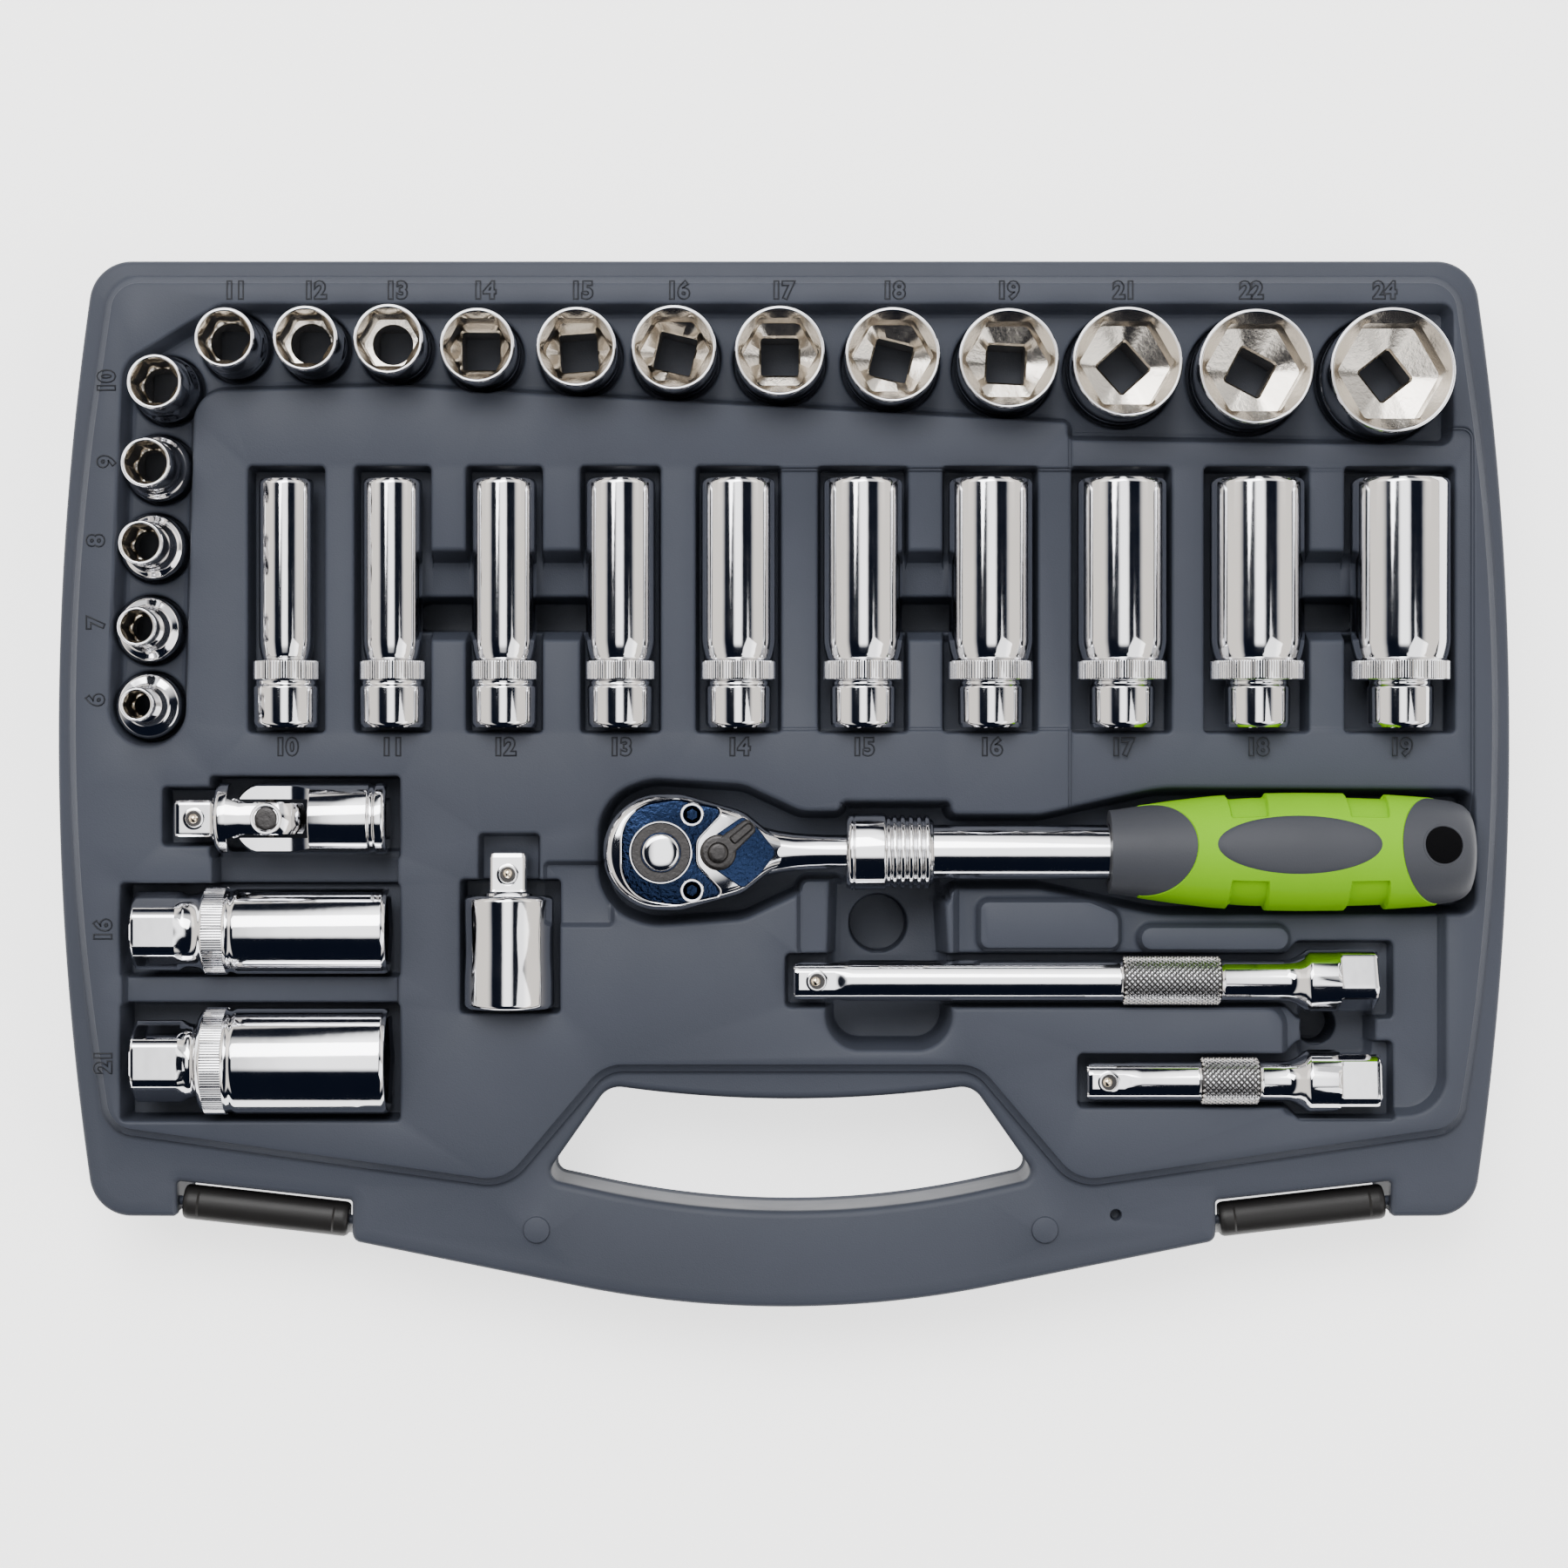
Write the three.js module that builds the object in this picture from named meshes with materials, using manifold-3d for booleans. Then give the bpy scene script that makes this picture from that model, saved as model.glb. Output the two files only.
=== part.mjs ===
// Three-eighths drive socket wrench set in its carry case: a double-walled moulded tray with a carrying
// handle and two swing latches, short sockets standing in a trough, deep sockets lying in a row,
// two spark plug sockets, a universal joint, a drive adaptor, a ratchet and two extension bars.
// Millimetres, +Z up. The origin is the middle of the case's footprint, on the surface it rests on.
// +X runs along the case, +Y from the carrying handle towards the hinge side.
import * as THREE from "three";
import { mergeVertices } from "three/addons/utils/BufferGeometryUtils.js";
import Module from "manifold-3d";

const wasm = await Module();
wasm.setup();

// ---------------------------------------------------------------- driving dimensions
const CLEAR = 0.3; // gap kept between pieces that touch or run on each other
const SQUARE = 9.5; // three-eighths inch drive
const SQUARE_DEPTH = 11;
const HALF_INCH = 12.7; // the adaptor's larger female square
const BALL_RADIUS = 1.5;
const BALL_PROUD = 0.7; // how far a detent ball stands out of its tang

const CASE = {
  halfWidth: 188.35,
  halfDepth: 135.7,
  top: 36, // top of the raised deck that holds the tools
  rim: 33, // border around the deck, and the carrying handle
  skin: 2.4, // thickness of each moulded wall
  seam: 30.3, // height where the tray skin meets the base skin
};
const SIDE = { arc: 810, slope: 0.1423, middle: 11.8 }; // gently bowed left and right sides
const FRONT = { arc: 272, slope: 0.202, corner: [112, -118.6] }; // bowed outer edge of the handle
const GRIP_HOLE = { middle: 1.7, topArc: 320, bottomArc: 235 };
const CUP_WALL = 1.6; // wall of the pockets under the deck
const FINGER_FLOOR = 18; // floor of the finger scoops

const SHORT = { trough: 28, seat: 22, length: 28, driveOd: 17, driveLength: 12 };
const DEEP = { length: 64, driveY: 14.6, axisZ: 35.5, driveOd: 17, driveLength: 12, ring: 5.4 };
const hexBodyOd = (size) => 1.28 * size + 1.3; // outside diameter over a hexagon of that size
const deepRing = (size) => Math.max(hexBodyOd(size), DEEP.driveOd) / 2 + 0.2; // radius of its knurled ring

// short sockets: [size, x, y]
const SHORT_SOCKETS = [
  [6, -164.4, 20.2],
  [7, -164.4, 40.0],
  [8, -163.4, 61.3],
  [9, -162.1, 81.7],
  [10, -159.9, 102.2],
  [11, -142.2, 113.4],
  [12, -121.7, 113.2],
  [13, -100.6, 113.0],
  [14, -78.0, 111.4],
  [15, -52.8, 111.0],
  [16, -28.0, 110.8],
  [17, -1.1, 110.0],
  [18, 27.6, 109.0],
  [19, 57.1, 108.1],
  [21, 87.3, 107.2],
  [22, 120.0, 106.0],
  [24, 154.7, 105.1],
];
// deep sockets: [size, x of the axis]
const DEEP_SOCKETS = [
  [10, -128.4],
  [11, -101.0],
  [12, -72.2],
  [13, -42.2],
  [14, -11.8],
  [15, 20.4],
  [16, 53.3],
  [17, 87.2],
  [18, 122.1],
  [19, 159.1],
];
const SPARK = { x0: -167.7, hexEnd: 17.5, hexAf: 19, ring: 7.5, length: 65.6, axisZ: 34 };
const SPARK_SOCKETS = [
  { name: "spark_plug_socket_16", size: 16, y: -37.9, od: 22.4 },
  { name: "spark_plug_socket_21", size: 21, y: -71.6, od: 27.4 },
];
const UJ = { x: -132.5, y: -8.9, axisZ: 35, radius: 9.2, slot: 5, ear: 3.9, bigPin: 2.6, smallPin: 1.3 };
const ADAPTOR = { x: -71, tangY: -17.5, shoulderY: -28.7, endY: -57.9, radius: 11.6, axisZ: 35 };
const RATCHET = { headX: -31.5, y: -17.5, axisZ: 37, headRadius: 14.9, gearRadius: 9.7, teeth: 24 };
const LEVER_X = -16.8;
const COLLAR = { x0: 16, x1: 38.4, radius: 9.8 };
const TUBE = { x0: 30.5, x1: 150, radius: 7, bore: 5 };
const SHANK_RADIUS = 4.4;
const SHANK_END = 133;
const HANDLE = { x0: 83.7, x1: 176.9, holeX: 167.6, holeRadius: 4.9 };
const LONG_BAR = { name: "extension_bar_150", x0: 2.5, x1: 153, y: -50.7, radius: 5.3, tang: 11.4, knurl: [87.2, 112.6] };
const SHORT_BAR = { name: "extension_bar_75", x0: 78, x1: 153.7, y: -76.6, radius: 5.1, tang: 10.4, knurl: [107.3, 122.5] };
const BAR = { axisZ: 35.5, flare: 131.5, head: 134.3, flats: 142.4, headRadius: 8.1, flatHalf: 7 };
const LATCH = { x: 134.2, y: -105.4, tilt: 0.112, half: 21.6, pivotV: 5.8, pivotZ: 25.5, barrel: 4.6, pin: 1.3 };

// ---------------------------------------------------------------- shape helpers
// A closed mesh as a solid that can be cut and joined.
function solid(geometry) {
  const bare = geometry.index ? geometry.toNonIndexed() : geometry.clone();
  bare.deleteAttribute("normal");
  bare.deleteAttribute("uv");
  const merged = mergeVertices(bare, 1e-3);
  return new wasm.Manifold(
    new wasm.Mesh({
      numProp: 3,
      vertProperties: merged.attributes.position.array,
      triVerts: new Uint32Array(merged.index.array),
    }),
  );
}

// A solid back as a geometry.
function geometryOf(body) {
  const mesh = body.getMesh();
  const stride = mesh.numProp;
  const count = mesh.vertProperties.length / stride;
  const positions = new Float32Array(count * 3);
  for (let i = 0; i < count; i++) {
    positions.set(mesh.vertProperties.subarray(i * stride, i * stride + 3), i * 3);
  }
  return new THREE.BufferGeometry()
    .setAttribute("position", new THREE.BufferAttribute(positions, 3))
    .setIndex(new THREE.BufferAttribute(new Uint32Array(mesh.triVerts), 1));
}

const join = (bodies) => bodies.reduce((whole, body) => whole.add(body));
const cut = (body, tools) => tools.reduce((whole, tool) => whole.subtract(tool), body);

// Points of a closed polygon with filleted corners [x, y, radius], moved out by grow.
function filleted(corners, grow = 0) {
  const points = [];
  const count = corners.length;
  const direction = (a, b) => new THREE.Vector2(b[0] - a[0], b[1] - a[1]).normalize();
  corners.forEach((corner, i) => {
    const before = direction(corners[(i + count - 1) % count], corner);
    const after = direction(corner, corners[(i + 1) % count]);
    const out1 = new THREE.Vector2(before.y, -before.x);
    const out2 = new THREE.Vector2(after.y, -after.x);
    const shift = grow / (1 + out1.dot(out2));
    const vertex = new THREE.Vector2(corner[0], corner[1]).addScaledVector(out1.clone().add(out2), shift);
    const convex = before.cross(after) > 0;
    const radius = corner[2] > 0 ? Math.max(0, corner[2] + (convex ? grow : -grow)) : 0;
    const turn = Math.acos(Math.min(1, Math.max(-1, before.dot(after))));
    if (radius < 0.05 || turn < 1e-3) {
      points.push(vertex);
      return;
    }
    const reach = radius * Math.tan(turn / 2);
    const side = convex ? -1 : 1;
    const centre = vertex
      .clone()
      .addScaledVector(before, -reach)
      .addScaledVector(out1, side * radius);
    const start = Math.atan2(-side * out1.y, -side * out1.x);
    const steps = 2 * Math.ceil((turn * Math.sqrt(radius)) / 6);
    for (let k = 0; k <= steps; k++) {
      const angle = start - side * turn * (k / steps);
      points.push(new THREE.Vector2(centre.x + radius * Math.cos(angle), centre.y + radius * Math.sin(angle)));
    }
  });
  return points.filter((point, i) => point.distanceTo(points[(i + 1) % points.length]) > 0.05);
}

// A prism over a filleted polygon, from z0 to z1.
function prism(corners, z0, z1, grow = 0) {
  const shape = new THREE.Shape(filleted(corners, grow));
  return solid(new THREE.ExtrudeGeometry(shape, { depth: z1 - z0, bevelEnabled: false })).translate([0, 0, z0]);
}

const box = (x0, x1, y0, y1, z0, z1) =>
  solid(new THREE.BoxGeometry(x1 - x0, y1 - y0, z1 - z0)).translate([(x0 + x1) / 2, (y0 + y1) / 2, (z0 + z1) / 2]);

const rectangle = (x0, x1, y0, y1, radius = 0) => [
  [x0, y0, radius],
  [x1, y0, radius],
  [x1, y1, radius],
  [x0, y1, radius],
];

// A turned solid about Z from its [radius, height] profile, closed on the axis at both ends.
function turned(profile, sides = 16) {
  const points = profile.map(([radius, height]) => new THREE.Vector2(radius, height));
  const lathe = new THREE.LatheGeometry(points, sides);
  return solid(lathe.rotateX(Math.PI / 2));
}

const cylinder = (radius, z0, z1, sides = 16) =>
  turned([[0, z0], [radius, z0], [radius, z1], [0, z1]], sides);

// An upright prism with flat sides, across those flats, from z0 to z1.
function flatSided(sides, acrossFlats, z0, z1, turn = 0) {
  const corner = acrossFlats / 2 / Math.cos(Math.PI / sides);
  const shape = solid(new THREE.CylinderGeometry(corner, corner, z1 - z0, sides));
  return shape.rotate([90, 0, 0]).rotate([0, 0, turn]).translate([0, 0, (z0 + z1) / 2]);
}

const square = (side, z0, z1) => box(-side / 2, side / 2, -side / 2, side / 2, z0, z1);
const ballSolid = () => solid(new THREE.SphereGeometry(BALL_RADIUS, 8, 6));

// Upright solids laid down: the +Z end turns towards +X, -X or +Y.
const towardsX = (body) => body.rotate([0, 90, 0]);
const towardsMinusX = (body) => body.rotate([0, -90, 0]);
const towardsY = (body) => body.rotate([-90, 0, 0]);

// ---------------------------------------------------------------- materials
const finish = (color, roughness, metalness) => new THREE.MeshStandardMaterial({ color, roughness, metalness });
const material = {
  case: finish(0x4f5560, 0.55, 0),
  latch: finish(0x1d1d1f, 0.45, 0),
  chrome: finish(0xd9dadc, 0.08, 1),
  nickel: finish(0xb9b3a8, 0.25, 1),
  black: finish(0x2a2a2c, 0.4, 0.6),
  gripGrey: finish(0x4a4d54, 0.6, 0),
  gripGreen: finish(0x84c820, 0.55, 0),
  insert: finish(0x18181a, 0.8, 0),
};

const set = new THREE.Group();
function piece(name, body, look) {
  const mesh = new THREE.Mesh(geometryOf(body), look);
  mesh.name = name;
  set.add(mesh);
}

// ---------------------------------------------------------------- case outlines
const mirrorX = (corners) => corners.map(([x, y, r]) => [-x, y, r]).reverse();

function caseOutline() {
  const bow = Math.atan(SIDE.slope);
  const sideX = CASE.halfWidth + SIDE.arc * (1 / Math.cos(bow) - 1);
  const cornerX = sideX - SIDE.slope * (CASE.halfDepth - SIDE.middle);
  const dip = Math.atan(FRONT.slope);
  const frontY = -CASE.halfDepth - FRONT.arc * (1 / Math.cos(dip) - 1);
  const right = [
    [FRONT.corner[0], FRONT.corner[1], 2.5],
    [FRONT.corner[0], -108, 1],
    [157.6, -103, 1],
    [157.6, -112.2, 1],
    [cornerX, -112.1, 11],
    [sideX, SIDE.middle, SIDE.arc],
    [cornerX, CASE.halfDepth, 11],
  ];
  return [[0, frontY, FRONT.arc], ...right, ...mirrorX(right)];
}

function deckOutline() {
  return [
    [-45.8, -74.3, 9],
    [-71.4, -104.5, 13],
    [-175.4, -90, 9],
    [-191.4, SIDE.middle, 600],
    [-174.4, 131.2, 9],
    [174.4, 131.2, 9],
    [191.4, SIDE.middle, 600],
    [175.4, -90, 9],
    [75, -104.5, 13],
    [49.4, -74.3, 9],
  ].reverse();
}

function gripHoleOutline() {
  const x = GRIP_HOLE.middle;
  return [
    [x - 47.2, -78.2, 6],
    [x - 64.2, -102.3, 3],
    [x, -116.2, GRIP_HOLE.bottomArc],
    [x + 64.2, -102.3, 3],
    [x + 47.2, -78.2, 6],
    [x, -84.5, GRIP_HOLE.topArc],
  ];
}

// ---------------------------------------------------------------- pockets: an outline and a floor height
const troughOutline = () => [
  [-174.4, 9.8, 9.4],
  [-154.6, 9.8, 9.4],
  [-152.2, 101.5, 8],
  [-100, 102.8, 0],
  [73.3, 93.4, 0],
  [73.3, 89, 0],
  [172.6, 87.5, 4],
  [172.6, 123.8, 4],
  [-145.6, 123.8, 6],
  [-170.6, 108.6, 8],
];

function ratchetPocket() {
  const { headX, y } = RATCHET;
  const upper = [
    [headX - 16.4, y + 13, 13],
    [headX - 3, y + 18.6, 14],
    [headX + 21, y + 17, 10],
    [headX + 36, y + 10, 8],
    [COLLAR.x0 - 1.2, y + 10, 0],
    [COLLAR.x0 - 1.2, y + 13, 0],
    [COLLAR.x1 + 4.6, y + 13, 0],
    [COLLAR.x1 + 4.6, y + 9.6, 0],
    [66, y + 9.6, 12],
    [97, y + 16.4, 30],
    [HANDLE.x1 + 1.4, y + 16, 5],
  ];
  const lower = upper.map(([px, py, r]) => [px, 2 * y - py, r]);
  return [...lower, ...upper.reverse()];
}

function barPocket({ x0, y, radius }) {
  const half = radius + 1.6;
  const end = BAR.headRadius + 2;
  return [
    [x0 - 2.2, y - half, 1.5],
    [BAR.flare - 1.5, y - half, 2],
    [BAR.flare + 1.5, y - end, 2],
    [157.8, y - end, 1.5],
    [157.8, y + end, 1.5],
    [BAR.flare + 1.5, y + end, 2],
    [BAR.flare - 1.5, y + half, 2],
    [x0 - 2.2, y + half, 1.5],
  ];
}

const deepPockets = () =>
  DEEP_SOCKETS.map(([size, x]) => {
    const half = deepRing(size);
    return [rectangle(x - half - 1, x + half + 1, 13.2, 82), DEEP.axisZ - half - CLEAR];
  });

const fingerGaps = () => [
  rectangle(-92.5, -80.5, 36.6, 55, 2),
  rectangle(-64.5, -51, 36.6, 55, 2),
  rectangle(31, 43, 36.6, 55, 2),
  rectangle(134, 147, 36.6, 55, 2),
  rectangle(11.5, 41, -68.2, -24, 6),
  rectangle(132, 148, -72, -55, 3),
];

const pockets = () => [
  [troughOutline(), SHORT.trough],
  ...deepPockets(),
  ...fingerGaps().map((outline) => [outline, FINGER_FLOOR]),
  [rectangle(-160.4, -145, -16, -0.8, 1), 24],
  [rectangle(-148.2, -99.1, -19.3, 1.9, 1), 20],
  [rectangle(-148.2, -99.1, -27, -18, 1), 25],
  [rectangle(-171.3, -99.1, -50, -25.6, 1), 21.8],
  [rectangle(-171.3, -99.1, -58, -48, 1), 31],
  [rectangle(-171.3, -99.1, -87, -56.6, 1), 19.3],
  [rectangle(-78.8, -63.1, -26, -14.6, 1), 29],
  [rectangle(-84, -58, -59.6, -24.6, 1), 22.4],
  [ratchetPocket(), 20.8],
  [rectangle(RATCHET.headX - 8, RATCHET.headX + 8, RATCHET.y - 8, RATCHET.y + 8, 3), 17.5],
  [barPocket(LONG_BAR), 26.2],
  [barPocket(SHORT_BAR), 26.2],
];

// ---------------------------------------------------------------- case
// the deck that holds the tools: a hollow lid-shaped moulding with every pocket hanging below it
function caseTray() {
  const { top, skin, seam } = CASE;
  const deck = prism(deckOutline(), seam, top);
  const hollow = prism(deckOutline(), seam - 1, top - skin, -skin);
  const seats = SHORT_SOCKETS.map(([size, x, y]) => {
    const radius = Math.max(hexBodyOd(size), SHORT.driveOd) / 2 + 0.8;
    return [x, y, radius];
  });
  const cups = [
    ...pockets().map(([outline, floor]) => prism(outline, floor - CUP_WALL, top - 0.5, CUP_WALL)),
    ...seats.map(([x, y, r]) =>
      cylinder(r + CUP_WALL, SHORT.seat - CUP_WALL, SHORT.trough, 12).translate([x, y, 0])),
  ];
  const voids = [
    ...pockets().map(([outline, floor]) => prism(outline, floor, top + 5)),
    ...seats.map(([x, y, r]) => cylinder(r, SHORT.seat, SHORT.trough + 5, 12).translate([x, y, 0])),
  ];
  return cut(deck.subtract(hollow).add(join(cups)), voids);
}

// the border round the deck, with the top of the carrying handle
function caseRim() {
  const { top, rim, seam } = CASE;
  const border = prism(caseOutline(), seam, rim);
  const bosses = [-64.1, 67.6].map((x) => cylinder(3.4, rim - 1, rim + 0.8, 12).translate([x, -115.5, 0]));
  const eyelet = cylinder(1.6, seam - 5, rim + 5, 10).translate([86, -111.7, 0]);
  const opening = prism(deckOutline(), seam - 5, top, CLEAR / 2);
  return cut(join([border, ...bosses]), [opening, prism(gripHoleOutline(), 0, top + 5), eyelet]);
}

function hingeKnuckles() {
  return [-120, 0, 120].map((x) =>
    towardsX(cylinder(2.2, -15, 15, 10)).translate([x, CASE.halfDepth - 2.2, 25]));
}

// A latch's own frame: u along the edge, v outwards from the notch wall, z up.
function atLatch(body, side) {
  const placed = body.rotate([0, 0, (-LATCH.tilt * 180) / Math.PI]).translate([-LATCH.x, LATCH.y, 0]);
  return side < 0 ? placed : placed.mirror([1, 0, 0]);
}

// The lug in each latch notch, with the trunnion that the latch turns on. v grows towards -Y.
// two pins on the notch's end walls, which run in the ends of the latch's barrel
function latchPins(side) {
  const { pivotV, pivotZ, pin, half } = LATCH;
  const pinAt = (u0, u1) => towardsX(cylinder(pin, u0, u1, 10)).translate([0, -pivotV, pivotZ]);
  return atLatch(pinAt(-half - 3, -half + 6).add(pinAt(half - 6, half + 3)), side);
}

// a barrel the whole width of the notch, a plate hanging from it and the lip a finger pulls
function latch(side) {
  const { pivotV, pivotZ, barrel, pin, half } = LATCH;
  const knuckle = towardsX(cylinder(barrel, -half, half, 16)).translate([0, -pivotV, pivotZ]);
  const plate = box(-half, half, -pivotV - barrel, -pivotV - 1.4, 1.6, pivotZ);
  const lip = box(-half, half, -pivotV - barrel - 1.8, -pivotV - barrel + 1, 1.6, 5.2);
  const bore = (u0, u1) => towardsX(cylinder(pin + CLEAR, u0, u1, 10)).translate([0, -pivotV, pivotZ]);
  const whole = join([knuckle, plate, lip]);
  return atLatch(cut(whole, [bore(-half - 1, -half + 6.5), bore(half - 6.5, half + 1)]), side);
}

function caseBase() {
  const { skin, seam } = CASE;
  const height = seam - CLEAR;
  const outer = prism(caseOutline(), 0, height);
  const cavity = prism(caseOutline(), skin, height + 5, -skin);
  const gripWall = prism(gripHoleOutline(), skin, height, skin);
  const pan = cut(outer, [cut(cavity, [gripWall]), prism(gripHoleOutline(), -5, height + 5)]);
  const pins = [latchPins(-1), latchPins(1)];
  const knuckles = hingeKnuckles().map((k) => k.intersect(prism(caseOutline(), 20, height)));
  return join([pan, ...pins, ...knuckles]);
}

// ---------------------------------------------------------------- sockets, upright with the hexagon at +Z
function socketBore(size, length, hexDepth) {
  return [
    square(SQUARE, -1, SQUARE_DEPTH),
    cylinder(Math.min(size / 2 - 0.6, SQUARE / 2 - 0.4), SQUARE_DEPTH - 1, length - hexDepth + 1, 8),
    flatSided(6, size + 0.2, length - hexDepth, length + 1, 30),
  ];
}

function shortSocket(size) {
  const body = hexBodyOd(size) / 2;
  const drive = SHORT.driveOd / 2;
  const length = SHORT.length;
  const slim = body < drive - 0.1;
  const profile = slim
    ? [[0, 0], [drive, 0], [drive, SHORT.driveLength], [body, SHORT.driveLength + 2.5], [body, length], [0, length]]
    : [[0, 0], [body, 0], [body, length], [0, length]];
  const hexDepth = size < 14 ? 12 : length - SQUARE_DEPTH;
  return cut(turned(profile), socketBore(size, length, hexDepth));
}

function deepSocket(size) {
  const body = hexBodyOd(size) / 2;
  const drive = DEEP.driveOd / 2;
  const { length, driveLength, ring } = DEEP;
  const ringRadius = deepRing(size);
  const profile = [
    [0, 0],
    [drive - 0.3, 0],
    [drive - 0.3, driveLength],
    [ringRadius, driveLength],
    [ringRadius, driveLength + ring],
    [body, driveLength + ring],
    [body, length],
    [0, length],
  ];
  return cut(turned(profile), socketBore(size, length, length - SQUARE_DEPTH - 4));
}

function sparkSocket({ size, od }) {
  const { hexEnd, hexAf, ring, length } = SPARK;
  const profile = [
    [0, hexEnd - 1],
    [9.2, hexEnd - 1],
    [od / 2 + 0.3, hexEnd + 1.5],
    [od / 2 + 0.3, hexEnd + ring],
    [od / 2, hexEnd + ring],
    [od / 2, length],
    [0, length],
  ];
  const head = flatSided(6, hexAf, 0, hexEnd, 30);
  const body = turned(profile).add(head);
  const bore = [
    square(SQUARE, -1, SQUARE_DEPTH),
    cylinder(4, SQUARE_DEPTH - 1, 25, 8),
    cylinder(size / 2 - 0.4, 24, 47, 12),
    flatSided(6, size + 0.2, 46, length + 1),
  ];
  return cut(body, bore);
}

// The soft sleeve that grips a spark plug, inside the socket's round bore.
function sparkInsert({ size }) {
  const outer = size / 2 - 0.4 - CLEAR;
  const sleeve = cylinder(outer, 25, 45, 12);
  return cut(sleeve, [cylinder(outer - 2, 24, 46, 12)]);
}

// ---------------------------------------------------------------- drive tools
// A male square tang from z0 to z1 with a blind hole for its detent ball, which faces +X.
function tang(z0, z1) {
  const chamfered = flatSided(4, SQUARE, z0, z1, 45);
  const hole = towardsX(cylinder(BALL_RADIUS + 0.15, 0.6, 8, 8)).translate([0, 0, (z0 + z1) / 2 + 0.6]);
  return cut(chamfered, [hole]);
}

const tangBall = (z0, z1) =>
  ballSolid().translate([SQUARE / 2 - BALL_RADIUS + BALL_PROUD, 0, (z0 + z1) / 2 + 0.6]);

// Extension bar, upright with the tang at +Z.
function extensionBar({ x0, x1, radius, tang: tangLength, knurl }, flatTurn) {
  const height = (x) => x1 - x; // places along the bar, counted from its female end
  const length = x1 - x0;
  const shoulder = length - tangLength;
  const profile = [
    [0, 0],
    [BAR.headRadius - 0.6, 0],
    [BAR.headRadius, 1],
    [BAR.headRadius, height(BAR.head)],
    [radius, height(BAR.flare) + 1],
    [radius, height(knurl[1])],
    [radius + 0.6, height(knurl[1]) + 0.4],
    [radius + 0.6, height(knurl[0]) - 0.4],
    [radius, height(knurl[0])],
    [radius, shoulder],
    [0, shoulder],
  ];
  const flats = cut(square(30, -1, height(BAR.flats)), [
    square(2 * BAR.flatHalf, -2, height(BAR.flats) + 1).rotate([0, 0, flatTurn]),
  ]);
  return cut(turned(profile).add(tang(shoulder - 1, length)), [flats, square(SQUARE, -1, SQUARE_DEPTH)]);
}

function adaptorBody() {
  const shoulder = ADAPTOR.shoulderY - ADAPTOR.endY;
  const length = ADAPTOR.tangY - ADAPTOR.endY;
  const profile = [[0, 0], [ADAPTOR.radius, 0], [ADAPTOR.radius, shoulder - 1], [ADAPTOR.radius - 1.2, shoulder], [0, shoulder]];
  const crossHole = towardsY(cylinder(4.4, -20, 20, 12)).translate([0, 0, shoulder - 9.6]);
  return cut(turned(profile, 18).add(tang(shoulder - 1, length)), [square(HALF_INCH, -1, 14), crossHole]);
}

// Universal joint, along X about its own centre. The driver yoke's ears lie above and below the block.
const UJ_PIN = { big: UJ.bigPin, small: UJ.smallPin };
const SWING = 9.9; // every ear stays inside this radius, so the yokes can swing past each other
const swingBall = () => solid(new THREE.SphereGeometry(SWING, 20, 14));
function driverYoke() {
  const body = towardsX(turned([[0, -13.8], [8, -13.8], [UJ.radius, -12.4], [UJ.radius, 6.2], [0, 6.2]], 16));
  const sides = [-1, 1].map((s) => box(-9.4, 10, s < 0 ? -12 : UJ.ear, s < 0 ? -UJ.ear : 12, -12, 12));
  const slot = box(-10.3, 10, -12, 12, -UJ.slot, UJ.slot);
  const pinHole = cylinder(UJ_PIN.big + CLEAR, -12, 12, 12);
  const square9 = towardsMinusX(tang(13, 24.4));
  const reach = box(-30, -4, -12, 12, -12, 12).add(swingBall());
  return cut(body.add(square9), [...sides, slot, pinHole]).intersect(reach);
}

function socketYoke() {
  const profile = [[0, -6.2], [UJ.radius, -6.2], [UJ.radius, 26], [8.7, 26.6], [8.7, 27.4], [UJ.radius, 28], [UJ.radius, 30.2], [0, 30.2]];
  const body = towardsX(turned(profile, 16));
  const above = [-1, 1].map((s) => box(-10, 9.4, -12, 12, s < 0 ? -12 : UJ.ear, s < 0 ? -UJ.ear : 12));
  const slot = box(-10, 11.6, -UJ.slot, UJ.slot, -12, 12);
  const pinHole = towardsY(cylinder(UJ_PIN.small + CLEAR, -12, 12, 10));
  const female = towardsX(square(SQUARE, 30.4 - SQUARE_DEPTH, 32));
  const reach = box(4, 40, -12, 12, -12, 12).add(swingBall());
  return cut(body, [...above, slot, pinHole, female]).intersect(reach);
}

// the block between the yokes, with a stub each side that the socket end swings on
function crossBlock() {
  const half = UJ.slot - CLEAR;
  const block = box(-4.3, 4.3, -half, half, -half, half);
  const stubs = towardsY(cylinder(UJ_PIN.small, -8.9, 8.9, 10));
  return block.add(stubs).subtract(cylinder(UJ_PIN.big + CLEAR, -6, 6, 12));
}

const bigPivotPin = () => cylinder(UJ_PIN.big, -8.7, 8.7, 12);

// ---------------------------------------------------------------- ratchet, about its head's centre
const HEAD = { bottom: -5.5, top: 7, cavityTop: 5.2, floor: -3.2 };
const SCREWS = [
  [8, 9.7],
  [8, -9.7],
];

function headOutline() {
  const r = RATCHET.headRadius;
  return [
    [-r, -r, r - 0.2],
    [4, -r, 12],
    [21, -11, 9],
    [31, -3.4, 5],
    [31, 3.4, 5],
    [21, 11, 9],
    [4, r, 12],
    [-r, r, r - 0.2],
  ];
}

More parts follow.
